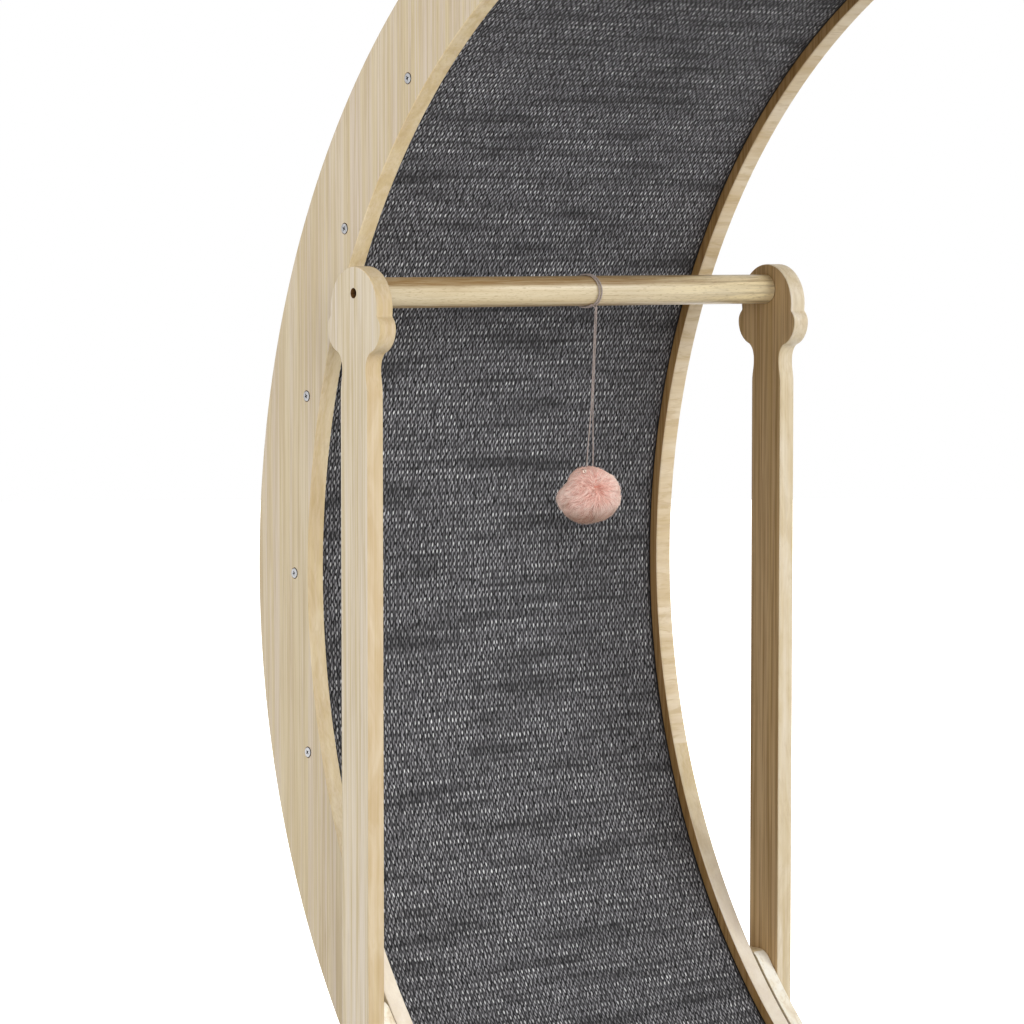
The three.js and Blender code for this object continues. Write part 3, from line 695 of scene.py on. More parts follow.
def makePompom():
    random.seed(pompomFur["seed"])
    half = Vector((pompomSize["width"] / 2, pompomSize["width"] / 2, pompomSize["height"] / 2))
    start, end = [lookAcross * across + Vector((0, 0, up)) - lookAway * math.sqrt(1 - across ** 2 - up ** 2)
                  for across, up in pompomFur["parting"]]

    def placeOf(way, reach):
        reach = reach * pompomReach(way)
        return Vector([way[k] * half[k] * reach for k in range(3)]) + pompomCentre

    corners, faces, layers = [], [], {"furShare": [], "furTone": [], "furParting": [], "furPaintedShade": []}
    for i in range(pompomFur["strands"]):
        z = 1 - 2 * (i + 0.5) / pompomFur["strands"]
        a = pi * (3 - math.sqrt(5)) * i
        root = Vector((math.sqrt(1 - z * z) * math.cos(a), math.sqrt(1 - z * z) * math.sin(a), z))
        root = (root + Vector([random.uniform(-0.02, 0.02) for _ in range(3)])).normalized()
        along = min(1, max(0, (root - start).dot(end - start) / (end - start).length_squared))
        parting = start.lerp(end, along).normalized()
        comb = root * root.dot(parting) - parting
        comb = comb / max(comb.length, 0.35) - lookAcross * pompomFur["fall"][0] - Vector((0, 0, pompomFur["fall"][1]))
        comb = (comb - root * comb.dot(root)).normalized()
        closeness = min(1, max(0, (root.dot(parting) - 0.84) / 0.16))
        swirl = closeness * random.gauss(0, 0.9) + 1.1 * noise.noise(root * 2.6) + 0.6 * noise.noise(root * 6 + Vector((5, 2, 1)))
        swirl += random.gauss(0, 0.05)
        comb = Matrix.Rotation(swirl, 3, root) @ comb
        sweep = pompomFur["sweep"] * random.uniform(0.7, 1.2) * (1 - 0.45 * closeness)
        lift = random.uniform(-0.02, 0.025) + (random.uniform(0, 0.06) if random.random() < 0.12 else 0)
        lock = noise.noise(root * 16)
        tuft = 0.03 * noise.noise(root * 6 + Vector((1, 9, 4))) + 0.02 * closeness + 0.035 * lock
        stations = [(0, 0.82), (0.26 * sweep, 0.92 + tuft), (0.62 * sweep, 0.985 + tuft + lift * 0.6), (sweep, 0.99 + tuft + lift)]
        lean = random.uniform(-0.95, 0.95)
        tone = min(1, max(0, 0.5 + (random.random() - 0.5) * 0.4 + 1.1 * lock))
        # painted shade: strands whose tips point down are darkened
        paintedStrandShade = min(1, max(0, (-(root + comb * sweep * 0.8).normalized().z - 0.35) / 0.5))
        # painted shadow along a crease over the left lobe
        aside = root.dot(lookAcross) - pompomFur["creaseShadow"][0]
        above = root.z - pompomFur["creaseShadow"][1] - 0.55 * aside
        if root.dot(lookAway) < 0:
            paintedStrandShade = max(paintedStrandShade, 0.85 * math.exp(-(aside / 0.24) ** 2 - (above / 0.1) ** 2))
        first = len(corners)
        for (far, reach), width, share in zip(stations, (0.9, 1, 0.75, 0), (0, 0.3, 0.7, 1)):
            way = (root + comb * far).normalized()
            spot = placeOf(way, reach)
            side = (way.cross(comb) * math.cos(lean) + way * math.sin(lean)) * (pompomFur["thickness"] / 2 * width)
            ends = (spot - side, spot + side) if width else (spot,)
            for end in ends:
                corners.append(end)
                for label, value in zip(layers, (share, tone, closeness, paintedStrandShade)):
                    layers[label].append(value)
        faces += [(first, first + 1, first + 3, first + 2), (first + 2, first + 3, first + 5, first + 4),
                  (first + 4, first + 5, first + 6)]
    mesh = bpy.data.meshes.new("pompom_fur")
    mesh.from_pydata(corners, [], faces)
    for label, values in layers.items():
        mesh.attributes.new(label, "FLOAT", "POINT").data.foreach_set("value", values)
    fur = bpy.data.objects.new("pompom_fur", mesh)
    bpy.context.collection.objects.link(fur)
    if sum(p.normal.dot(p.center - pompomCentre) for p in mesh.polygons[:300]) < 0:
        startEdit(fur)
        bpy.ops.mesh.flip_normals()
        endEdit()
    clearSelection()
    bpy.ops.mesh.primitive_ico_sphere_add(subdivisions=5, radius=1, location=(0, 0, 0))
    core = bpy.context.object
    # painted shade: the core is darkened underneath
    paintedCoreShade = []
    for vertex in core.data.vertices:
        way = vertex.co.normalized()
        paintedCoreShade.append(min(1, max(0, (-way.z - 0.25) / 0.55)))
        vertex.co = placeOf(way, pompomFur["core"])
    core.data.attributes.new("furShare", "FLOAT", "POINT")
    core.data.attributes.new("furTone", "FLOAT", "POINT").data.foreach_set("value", [0.4] * len(paintedCoreShade))
    core.data.attributes.new("furParting", "FLOAT", "POINT")
    core.data.attributes.new("furPaintedShade", "FLOAT", "POINT").data.foreach_set("value", paintedCoreShade)
    fur = joinAll([fur, core], "pompom_fur")
    fur.data.materials.append(pinkFur)
    smooth(fur, 75)
    return fur


def makeTie():
    # the little crimped ring that closes the pompom's thread
    spot = pompomCentre - lookAcross * 0.003 + Vector((0, 0, 0.0166)) - lookAway * 0.0116
    clearSelection()
    bpy.ops.mesh.primitive_torus_add(major_radius=0.0009, minor_radius=0.00045, major_segments=28, minor_segments=12,
                                     location=spot, rotation=(1.2, 0.2, -0.5))
    piece = nameIt(bpy.context.object, "thread_ring")
    bpy.ops.object.transform_apply(location=True, rotation=True, scale=True)
    piece.data.materials.append(brassTie)
    smooth(piece, 60)
    return piece


tiePiece = makeTie()
finishPiece(tiePiece, "toy_drop", "steel")
pompomPiece = makePompom()
finishPiece(pompomPiece, "toy_drop", "pink_fur", "pompom")
print("pompom combed")


# the two rings with their countersunk holes

ring = {"outer": 0.5, "inner": 0.4397, "face": 0.1525, "thickness": 0.0123, "edge": 0.0011, "steps": 288,
        "holeRing": 0.4559, "holes": 24, "head": 0.0038, "shank": 0.0021, "joint": -17.9}


def roundedBand(fromX, toX, low, high, edge, perCorner=3):
    # the section of a ring with rounded edges, closed
    points = []
    for cx, cr, start in ((toX - edge, high - edge, 0), (fromX + edge, high - edge, pi / 2),
                          (fromX + edge, low + edge, pi), (toX - edge, low + edge, 3 * pi / 2)):
        for i in range(perCorner + 1):
            angle = start + pi / 2 * i / perCorner
            points.append((cx + edge * math.cos(angle), cr + edge * math.sin(angle)))
    return points + points[:1]


def splitMaterials(piece, face, rim, test):
    # the flat faces get one finish, the edges the other
    piece.data.materials.clear()
    piece.data.materials.append(face)
    piece.data.materials.append(rim)
    for polygon in piece.data.polygons:
        polygon.material_index = 0 if test(polygon) else 1


def makeRing(label, sign):
    outerX = sign * ring["face"]
    innerX = sign * (ring["face"] - ring["thickness"])
    section = roundedBand(min(outerX, innerX), max(outerX, innerX), ring["inner"], ring["outer"], ring["edge"])
    piece = turn(f"ring_board_{label}", section, wheelCentre, steps=ring["steps"])
    sink = ring["head"] - ring["shank"]
    drill = turn("drill", [(-0.002, 0), (-0.002, ring["head"]), (0.0002, ring["head"]), (0.0002 + sink, ring["shank"]),
                           (0.02, ring["shank"]), (0.02, 0)], (0, 0, 0), steps=24)
    drills = []
    for i in range(ring["holes"]):
        place = Matrix.Translation(wheelCentre) @ Matrix.Rotation(2 * pi * i / ring["holes"], 4, "X")
        place = place @ Matrix.Translation((outerX, ring["holeRing"], 0))
        if sign > 0:
            place = place @ Matrix.Rotation(pi, 4, "Z")
        drills.append(copyOf(drill, f"drill_{i}", place))
    bpy.data.objects.remove(drill)
    cutAway(piece, drills)
    splitMaterials(piece, faceWood, sideEdgeWood, lambda polygon: abs(polygon.normal.x) > 0.8)
    piece.data.materials.append(crossEdgeWood)
    piece.data.materials.append(shadedRingInnerWood)
    piece.data.materials.append(shadedBoreWood)
    for polygon in piece.data.polygons:
        # the right ring is glued up from boards, and above the joint its edge shows end grain
        angle = math.degrees(math.atan2(polygon.center.z - wheelCentre.z, polygon.center.y))
        # painted shade: the right ring's face toward the wheel gets the shaded copy of the wood
        if sign > 0 and polygon.normal.x < -0.8:
            polygon.material_index = 3
        if sign > 0 and polygon.material_index == 1 and ring["joint"] < angle < ring["joint"] + 120:
            polygon.material_index = 2
        # painted shade: the walls of the screw holes are made dark brown as if in shadow
        reach = math.hypot(polygon.center.y, polygon.center.z - wheelCentre.z)
        offHole = math.radians((angle + 7.5) % 15 - 7.5) * ring["holeRing"]
        if math.hypot(reach - ring["holeRing"], offHole) < ring["head"] + 0.0001 and abs(polygon.normal.x) < 0.8:
            polygon.material_index = 4
    smooth(piece, 40, weighted=True)
    return piece


for label, sign in sides:
    finishPiece(makeRing(label, sign), "wheel", "pale_wood", f"ring_{label}")
print("rings cut and drilled")


# liner and battens behind the mat

drum = {"length": 0.28, "matRadius": 0.4465, "matThickness": 0.0025, "linerRadius": 0.4492, "linerThickness": 0.002,
        "battenRadius": 0.4559, "battenThickness": 0.009, "battenWidth": 0.03, "battens": 24}

half = drum["length"] / 2
liner = turn("liner_hoop", roundedBand(-half, half, drum["linerRadius"], drum["linerRadius"] + drum["linerThickness"],
                                       0.0003, 2), wheelCentre, steps=240)
liner.data.materials.append(linerPly)
smooth(liner, 40)
finishPiece(liner, "wheel", "plywood", "drum_liner")

clearSelection()
bpy.ops.mesh.primitive_cube_add(size=1, location=(0, 0, 0))
firstBatten = bpy.context.object
startEdit(firstBatten)
bpy.ops.transform.resize(value=(drum["length"], drum["battenThickness"], drum["battenWidth"]))
endEdit()
softenEdges(firstBatten, 0.0009, 3)
firstBatten.data.materials.append(battenWood)
smooth(firstBatten, 40, weighted=True)
for i in range(drum["battens"]):
    place = Matrix.Translation(wheelCentre) @ Matrix.Rotation(2 * pi * i / drum["battens"], 4, "X")
    place = place @ Matrix.Translation((0, drum["battenRadius"], 0))
    batten = copyOf(firstBatten, f"batten_board_{i + 1:02d}", place)
    finishPiece(batten, "wheel", "batten_wood", f"batten_{i + 1:02d}")
bpy.data.objects.remove(firstBatten)
print("liner and battens in place")


# running mat

def makeMat():
    section = roundedBand(-half, half, drum["matRadius"], drum["matRadius"] + drum["matThickness"], 0.0006, 2)
    piece = turn("running_carpet", section, wheelCentre, steps=288)
    layer = piece.data.uv_layers.new(name="matWeave")
    radius = drum["matRadius"]
    for polygon in piece.data.polygons:
        middle = polygon.center - wheelCentre
        middleAngle = math.atan2(middle.z, middle.y)
        for loop in polygon.loop_indices:
            place = piece.data.vertices[piece.data.loops[loop].vertex_index].co - wheelCentre
            angle = math.atan2(place.z, place.y)
            if angle - middleAngle > pi:
                angle -= 2 * pi
            elif middleAngle - angle > pi:
                angle += 2 * pi
            layer.data[loop].uv = ((angle + pi) * radius, place.x + half)
    for vertex in piece.data.vertices:
        outward = Vector((0, vertex.co.y - wheelCentre.y, vertex.co.z - wheelCentre.z)).normalized()
        if (vertex.co - wheelCentre - outward * (vertex.co - wheelCentre).dot(outward)).length < half - 0.001:
            vertex.co += outward * 0.00012 * noise.noise(vertex.co * 40)
    piece.data.materials.append(wovenCarpet)
    smooth(piece, 50)
    return piece


carpet = makeMat()
finishPiece(carpet, "wheel", "woven_mat", "running_mat")
print("mat laid")


# posts with shaped heads

post = {"inner": 0.164, "thickness": 0.0123, "halfWidth": 0.0153, "bottom": 0.012, "edge": 0.0008,
        "headRadius": 0.0267, "headDrop": 0.0097, "lobeReach": 0.0302, "lobeDrop": 0.0222,
        "lobeTop": 0.0094, "lobeBottom": 0.0163, "lobeFoot": 0.0377, "neckHalf": 0.0136, "neckDrop": 0.0489,
        "shoulderDrop": 0.0639, "bore": 0.00335, "boreDepth": 0.007, "screwHeights": (0.042, 0.125, 0.215)}


def postOutline():
    # half of the head drawn from the shoulder up to the crown, the other half mirrored
    topX = post["lobeReach"] - post["lobeTop"]
    lowX = post["lobeReach"] - post["lobeBottom"]
    footAngle = math.asin((post["lobeFoot"] - post["lobeDrop"]) / post["lobeBottom"])
    footX = lowX + post["lobeBottom"] * math.cos(footAngle)
    scoop = post["neckDrop"] - post["lobeFoot"]
    ease = post["shoulderDrop"] - post["neckDrop"]
    dy, dz = -topX, post["lobeDrop"] - post["headDrop"]
    apart = math.hypot(dy, dz)
    along = (post["lobeTop"] ** 2 - post["headRadius"] ** 2 + apart ** 2) / (2 * apart)
    across = math.sqrt(post["lobeTop"] ** 2 - along ** 2)
    meets = [(topX + along * dy / apart + s * across * dz / apart,
              -post["lobeDrop"] + along * dz / apart - s * across * dy / apart) for s in (1, -1)]
    notchY, notchZ = max(meets)
    lobeEnd = math.atan2(notchZ + post["lobeDrop"], notchY - topX)
    headStart = math.atan2(notchZ + post["headDrop"], notchY)
    halfWidth = post["halfWidth"]
    rise = bezier((halfWidth, -post["shoulderDrop"]), (halfWidth, -post["shoulderDrop"] + ease * 0.4),
                  (post["neckHalf"], -post["neckDrop"] - ease * 0.4), (post["neckHalf"], -post["neckDrop"]), 10)
    rise += bezier((post["neckHalf"], -post["neckDrop"]), (post["neckHalf"], -post["neckDrop"] + scoop * 0.5),
                   (footX - scoop * 0.3, -post["lobeFoot"] - scoop * 0.15), (footX, -post["lobeFoot"]), 12)
    rise += arc(lowX, -post["lobeDrop"], post["lobeBottom"], -footAngle, 0, 12)
    rise += arc(topX, -post["lobeDrop"], post["lobeTop"], 0, lobeEnd, 8)
    rise += arc(0, -post["headDrop"], post["headRadius"], headStart, pi / 2, 18)
    rise = [(halfWidth, post["bottom"] - barCentre.z)] + rise
    fall = [(-y, z) for y, z in reversed(rise)]
    return withoutRepeats([(barCentre.y + y, barCentre.z + z) for y, z in rise + fall])


def makePost(label, sign):
    outline = postOutline()
    outerX = sign * (post["inner"] + post["thickness"])
    piece = sawBoard(f"post_board_{label}", outline, min(sign * post["inner"], outerX), post["thickness"])
    softenEdges(piece, post["edge"], 3, 50)
    holes = [turn("bore", [(-0.002, 0), (-0.002, post["bore"]), (post["boreDepth"], post["bore"]),
                           (post["boreDepth"], 0.0021), (0.02, 0.0021), (0.02, 0)], (0, 0, 0), steps=32)]
    place = Matrix.Translation((outerX, barCentre.y, barCentre.z))
    if sign > 0:
        place = place @ Matrix.Rotation(pi, 4, "Z")
    cutters = [copyOf(holes[0], "bore_cut", place)]
    bpy.data.objects.remove(holes[0])
    for height in post["screwHeights"]:
        sinkPlace = Matrix.Translation((outerX, barCentre.y, height))
        if sign > 0:
            sinkPlace = sinkPlace @ Matrix.Rotation(pi, 4, "Z")
        sink = turn("sink", [(-0.002, 0), (-0.002, 0.0038), (0.0002, 0.0038), (0.0019, 0.0021), (0.02, 0.0021),
                             (0.02, 0)], (0, 0, 0), steps=24)
        cutters.append(copyOf(sink, "sink_cut", sinkPlace))
        bpy.data.objects.remove(sink)
    cutAway(piece, cutters)
    # painted shade: the left post's edges get the darker edge finish
    splitMaterials(piece, postWood, shadedNearEdgeWood if sign < 0 else paleEdgeWood, lambda polygon: abs(polygon.normal.x) > 0.8)
    piece.data.materials.append(shadedInnerWood)
    piece.data.materials.append(shadedBoreWood)
    for polygon in piece.data.polygons:
        fromBore = math.hypot(polygon.center.y - barCentre.y, polygon.center.z - barCentre.z)
        # painted shade: the right post's face toward the wheel gets the shaded copy of the wood
        if sign > 0 and polygon.normal.x < -0.8:
            polygon.material_index = 2
        # painted shade: the bore wall is made dark as if in shadow
        if fromBore < post["bore"] + 0.0001 and abs(polygon.center.x - outerX) > 0.0001:
            polygon.material_index = 3
    smooth(piece, 40, weighted=True)
    return piece


for label, sign in sides:
    finishPiece(makePost(label, sign), "base", "pale_wood", f"post_{label}")
print("posts shaped")


# cheek panels of the base

cheek = {"inner": 0.1535, "thickness": 0.0103, "bottom": 0.012, "halfDepth": 0.36451, "radius": 0.439,
         "hornFlat": 0.0124, "fillet": 0.012, "archSpan": 0.46, "archRise": 0.018, "edge": 0.0009,
         "axleHole": 0.0042, "screwHeights": (0.030, 0.054)}
rollerY = 0.26265
rollerZ = 0.0750769


def cheekOutline():
    reach = cheek["radius"] + cheek["fillet"]
    filletY = cheek["halfDepth"] - cheek["hornFlat"]
    drop = math.sqrt(reach ** 2 - filletY ** 2)
    filletZ = wheelCentre.z - drop
    angle = math.atan2(drop, filletY)
    archRadius = (cheek["archSpan"] ** 2 / 4 + cheek["archRise"] ** 2) / (2 * cheek["archRise"])
    archZ = cheek["bottom"] + cheek["archRise"] - archRadius
    archAngle = math.asin(cheek["archSpan"] / 2 / archRadius)
    points = [(-cheek["halfDepth"], cheek["bottom"])]
    points += arc(0, archZ, archRadius, pi / 2 + archAngle, pi / 2 - archAngle, 40)
    points += [(cheek["halfDepth"], cheek["bottom"]), (cheek["halfDepth"], filletZ + cheek["fillet"])]
    points += arc(filletY, filletZ, cheek["fillet"], pi / 2, pi - angle, 14)
    points += arc(0, wheelCentre.z, cheek["radius"], -angle, angle - pi, 110)
    points += arc(-filletY, filletZ, cheek["fillet"], angle, pi / 2, 14)
    points += [(-cheek["halfDepth"], filletZ + cheek["fillet"])]
    return withoutRepeats(points)


def makeCheek(label, sign):
    outerX = sign * (cheek["inner"] + cheek["thickness"])
    piece = sawBoard(f"cheek_board_{label}", cheekOutline(), min(sign * cheek["inner"], outerX), cheek["thickness"])
    softenEdges(piece, cheek["edge"], 3, 50)
    clearSelection()
    cutters = []
    for y in (-rollerY, rollerY):
        bpy.ops.mesh.primitive_cylinder_add(vertices=32, radius=cheek["axleHole"], depth=0.04,
                                            location=(sign * cheek["inner"], y, rollerZ), rotation=(0, pi / 2, 0))
        cutters.append(bpy.context.object)
    for height in cheek["screwHeights"]:
        place = Matrix.Translation((outerX, -barCentre.y, height))
        if sign > 0:
            place = place @ Matrix.Rotation(pi, 4, "Z")
        sink = turn("sink", [(-0.002, 0), (-0.002, 0.0038), (0.0002, 0.0038), (0.0019, 0.0021), (0.02, 0.0021),
                             (0.02, 0)], (0, 0, 0), steps=24)
        cutters.append(copyOf(sink, "sink_cut", place))
        bpy.data.objects.remove(sink)
    cutAway(piece, cutters)
    splitMaterials(piece, longWood, longEdgeWood, lambda polygon: abs(polygon.normal.x) > 0.8)
    piece.data.materials.append(litHollowEdgeWood)
    # painted light: the hollow edge facing the wheel gets the near-white finish
    for polygon in piece.data.polygons:
        reach = math.hypot(polygon.center.y, polygon.center.z - wheelCentre.z)
        if abs(polygon.normal.x) < 0.8 and reach < cheek["radius"] + cheek["edge"] + 0.0005:
            polygon.material_index = 2
    smooth(piece, 40, weighted=True)
    return piece


for label, sign in sides:
    finishPiece(makeCheek(label, sign), "base", "pale_wood", f"cheek_{label}")
print("cheeks cut")


# stretchers, toy bar and feet

stretcher = {"length": 0.3066, "depth": 0.0306, "height": 0.06, "bottom": 0.012, "edge": 0.0016}
for label, sign in ends:
    clearSelection()
    bpy.ops.mesh.primitive_cube_add(size=1, location=(0, sign * barCentre.y, stretcher["bottom"] + stretcher["height"] / 2))
    piece = nameIt(bpy.context.object, f"stretcher_board_{label}")
    startEdit(piece)
    bpy.ops.transform.resize(value=(stretcher["length"], stretcher["depth"], stretcher["height"]),
                             center_override=piece.location)
    endEdit()
    pick(piece)
    bpy.ops.object.transform_apply(location=True, rotation=True, scale=True)
    softenEdges(piece, stretcher["edge"], 4)
    cutters = []
    for footX in (-0.1275, 0.1275):
        bpy.ops.mesh.primitive_cylinder_add(vertices=24, radius=0.0032, depth=0.0404,
                                            location=(footX, sign * barCentre.y, stretcher["bottom"]))
        cutters.append(bpy.context.object)
    cutAway(piece, cutters)
    splitMaterials(piece, crossWood, crossEdgeWood, lambda polygon: abs(polygon.normal.y) > 0.8)
    smooth(piece, 40, weighted=True)
    finishPiece(piece, "base", "pale_wood", f"stretcher_{label}")

barLook = {"light": (213, 203, 180), "warm": (201, 183, 146), "rosy": (204, 189, 157),
           "streak": (171, 147, 104), "pore": (145, 120, 81)}
dowelWood = woodMaterial("dowel_wood", "X", look=barLook, contrast=0.35)
dowelTree = dowelWood.node_tree
dowelShader = dowelTree.nodes["Principled BSDF"]
# painted shade: a brown band along the top of the bar, under the drum, and a thinner one along its underside, set by
# height
heightUp = put(dowelTree, "ShaderNodeSeparateXYZ", {0: put(dowelTree, "ShaderNodeTexCoord").outputs["Object"]}).outputs[2]
heightUp = calc(dowelTree, "ADD", heightUp, calc(dowelTree, "MULTIPLY", noiseOn(
    dowelTree, stretched(dowelTree, (0.03, 1, 1)), 900, 3.0), 0.004))
shadeBand = calc(dowelTree, "MAXIMUM", spanOf(dowelTree, heightUp, barCentre.z + 0.0046, barCentre.z + 0.007),
             calc(dowelTree, "MULTIPLY", spanOf(dowelTree, heightUp, barCentre.z - 0.0058, barCentre.z - 0.0068), 0.8))
plain = dowelShader.inputs["Base Color"].links[0].from_socket
shadeBandLines = spanOf(dowelTree, noiseOn(dowelTree, stretched(dowelTree, (0.03, 1, 1)), 1500, 3.0), 0.35, 0.6)
shadeBand = calc(dowelTree, "MULTIPLY", shadeBand, calc(dowelTree, "ADD", calc(dowelTree, "MULTIPLY", shadeBandLines, 0.45), 0.55))
shadedLitTone = blendColours(dowelTree, calc(dowelTree, "MULTIPLY", shadeBand, 0.95), plain, paint(134, 102, 56))
# painted light: the bar turns paler in patches towards its right end, where light reaches it
dowelAlong = put(dowelTree, "ShaderNodeSeparateXYZ", {0: put(dowelTree, "ShaderNodeTexCoord").outputs["Object"]}).outputs[0]
farLightNoise = noiseOn(dowelTree, stretched(dowelTree, (0.05, 1, 1)), 420, 3.0, 0.6, 0.4)
pale = calc(dowelTree, "MULTIPLY", spanOf(dowelTree, dowelAlong, 0.04, 0.14), spanOf(dowelTree, farLightNoise, 0.62, 0.42))
shadedLitTone = blendColours(dowelTree, calc(dowelTree, "MULTIPLY", pale, 0.7), shadedLitTone, paint(246, 228, 182))
flecks = spanOf(dowelTree, noiseOn(dowelTree, stretched(dowelTree, (0.14, 1, 1)), 1500, 2.0), 0.56, 0.66)
shadedLitTone = blendColours(dowelTree, calc(dowelTree, "MULTIPLY", flecks, 0.35), shadedLitTone, paint(136, 108, 66))
dowelTree.links.new(shadedLitTone, dowelShader.inputs["Base Color"])
dowelShader.inputs["Coat Weight"].default_value = 0.3
dowelShader.inputs["Coat Roughness"].default_value = 0.3
bar = turn("dowel_bar", [(-0.1638, 0), (-0.1638, 0.0092), (-0.1635, 0.0097), (-0.163, barRadius), (0.163, barRadius),
                         (0.1635, 0.0097), (0.1638, 0.0092), (0.1638, 0)], barCentre, steps=96)
bar.data.materials.append(dowelWood)
smooth(bar, 50)
finishPiece(bar, "base", "pale_wood", "toy_bar")

footShape = {"radius": 0.013, "waist": 0.0101, "seat": 0.0118, "stem": 0.003, "stemTop": 0.032}
for endLabel, endSign in ends:
    for label, sign in sides:
        place = (sign * 0.1275, endSign * barCentre.y, 0)
        rubber = turn("rubber", [(0, 0), (0, 0.0119), (0.0003, 0.0127), (0.001, footShape["radius"]), (0.0034, 0.013),
                                 (0.0042, 0.0127), (0.0056, 0.0119), (0.0104, 0.0104), (0.0114, 0.0099),
                                 (footShape["seat"], 0.009), (footShape["seat"], 0)], place, "Z", 48)
        rubber.data.materials.append(footRubber)
        threads = [(0.0119, 0), (0.0119, 0.0028)]
        for i in range(18):
            threads += [(0.0122 + i * 0.00108, 0.0025), (0.01274 + i * 0.00108, footShape["stem"])]
        threads += [(0.0319, 0.0024), (0.032, 0)]
        stem = turn("stem", threads, place, "Z", 24)
        stem.data.materials.append(zincSteel)
        foot = joinAll([rubber, stem], f"foot_pad_{endLabel}_{label}")
        smooth(foot, 50)
        finishPiece(foot, "base", "foot_rubber", f"foot_{endLabel}_{label}")
print("stretchers, bar and feet in place")


# axles, spacers, cap nuts, rollers and bearings

roller = {"outer": 0.153, "treadEnd": 0.1395, "inner": 0.136, "tread": 0.025, "flange": 0.032,
          "seatStart": 0.141, "seatRadius": 0.0112, "web": 0.0072}


def bothWays(profile, sign):
    return [(sign * x, radius) for x, radius in profile]


def makeRoller(name, place, sign):
    r = roller
    profile = [(r["inner"], r["seatRadius"] + 0.0006), (r["inner"], 0.0205), (r["inner"] + 0.0006, 0.0215),
               (r["inner"] + 0.0006, 0.0285), (r["inner"], 0.0295), (r["inner"], r["flange"] - 0.001),
               (r["inner"] + 0.0003, r["flange"] - 0.0003), (r["inner"] + 0.001, r["flange"]),
               (r["treadEnd"] - 0.001, r["flange"]), (r["treadEnd"] - 0.0003, r["flange"] - 0.0003),
               (r["treadEnd"], r["flange"] - 0.0012), (r["treadEnd"], r["tread"] + 0.0008),
               (r["treadEnd"] + 0.0003, r["tread"] + 0.0002), (r["treadEnd"] + 0.0009, r["tread"]),
               (r["outer"] - 0.001, r["tread"]), (r["outer"] - 0.0003, r["tread"] - 0.0003),
               (r["outer"], r["tread"] - 0.001), (r["outer"], 0.0205), (r["outer"] - 0.0012, 0.0195),
               (r["outer"] - 0.0012, 0.0115), (r["outer"], 0.0105), (r["outer"], r["web"]),
               (r["seatStart"] + 0.0072, r["web"]), (r["seatStart"] + 0.0072, r["seatRadius"]),
               (r["inner"] + 0.0006, r["seatRadius"]), (r["inner"], r["seatRadius"] + 0.0006)]
    piece = turn(name, bothWays(profile, sign), place, steps=72)
    piece.data.materials.append(blackNylon)
    smooth(piece, 32)
    return piece


def makeBearing(name, place, sign):
    # outer race, shield and long inner race
    outerRace = turn("race", bothWays([(0.141, 0.0092), (0.141, 0.0106), (0.1413, 0.011), (0.1477, 0.011),
                                       (0.148, 0.0106), (0.148, 0.0092), (0.141, 0.0092)], sign), place, steps=48)
    outerRace.data.materials.append(zincSteel)
    shield = turn("shield", bothWays([(0.1415, 0.0063), (0.1413, 0.0068), (0.1414, 0.0088), (0.1417, 0.00915),
                                      (0.1474, 0.00915), (0.1476, 0.0088), (0.1477, 0.0068), (0.1475, 0.0063),
                                      (0.1415, 0.0063)], sign), place, steps=48)
    shield.data.materials.append(darkSteel)
    innerRace = turn("inner_race", bothWays([(0.1362, 0.0042), (0.1362, 0.006), (0.1364, 0.0062), (0.1531, 0.0062),
                                             (0.1533, 0.006), (0.1533, 0.0042), (0.1362, 0.0042)], sign), place, steps=48)
    innerRace.data.materials.append(zincSteel)
    piece = joinAll([outerRace, shield, innerRace], name)
    smooth(piece, 35)
    return piece


def makeCapNut(name, place, sign):
    # a hexagon with turned corners and a dome
    clearSelection()
    bpy.ops.mesh.primitive_cylinder_add(vertices=6, radius=0.0065 / math.cos(pi / 6), depth=0.0065,
                                        location=(0.00325, 0, 0), rotation=(0, pi / 2, 0))
    hexagon = bpy.context.object
    bpy.ops.object.transform_apply(location=True, rotation=True, scale=True)
    barrel = turn("barrel", [(-0.001, 0), (-0.001, 0.0066), (0.0005, 0.0073), (0.0012, 0.0078), (0.0053, 0.0078),
                             (0.006, 0.0073), (0.0072, 0.0061), (0.0072, 0)], (0, 0, 0), steps=48)
    applyModifier(hexagon, "BOOLEAN", operation="INTERSECT", solver="EXACT", object=barrel)
    bpy.data.objects.remove(barrel)
    softenEdges(hexagon, 0.00015, 2, 35)
    dome = [(0.0062, 0), (0.0062, 0.0054), (0.0075, 0.0054)]
    dome += [(0.0075 + 0.0035 * math.sin(pi / 2 * i / 8), 0.0054 * math.cos(pi / 2 * i / 8)) for i in range(1, 8)]
    dome.append((0.011, 0))
    cap = turn("cap", dome, (0, 0, 0), steps=48)
    piece = joinAll([hexagon, cap], name)
    turned = Matrix.Translation(place)
    if sign < 0:
        turned = turned @ Matrix.Rotation(pi, 4, "Z")
    piece.data.transform(turned @ Matrix.Rotation(random.uniform(0, pi), 4, "X"))
    piece.data.materials.clear()
    piece.data.materials.append(zincSteel)
    smooth(piece, 35)
    return piece


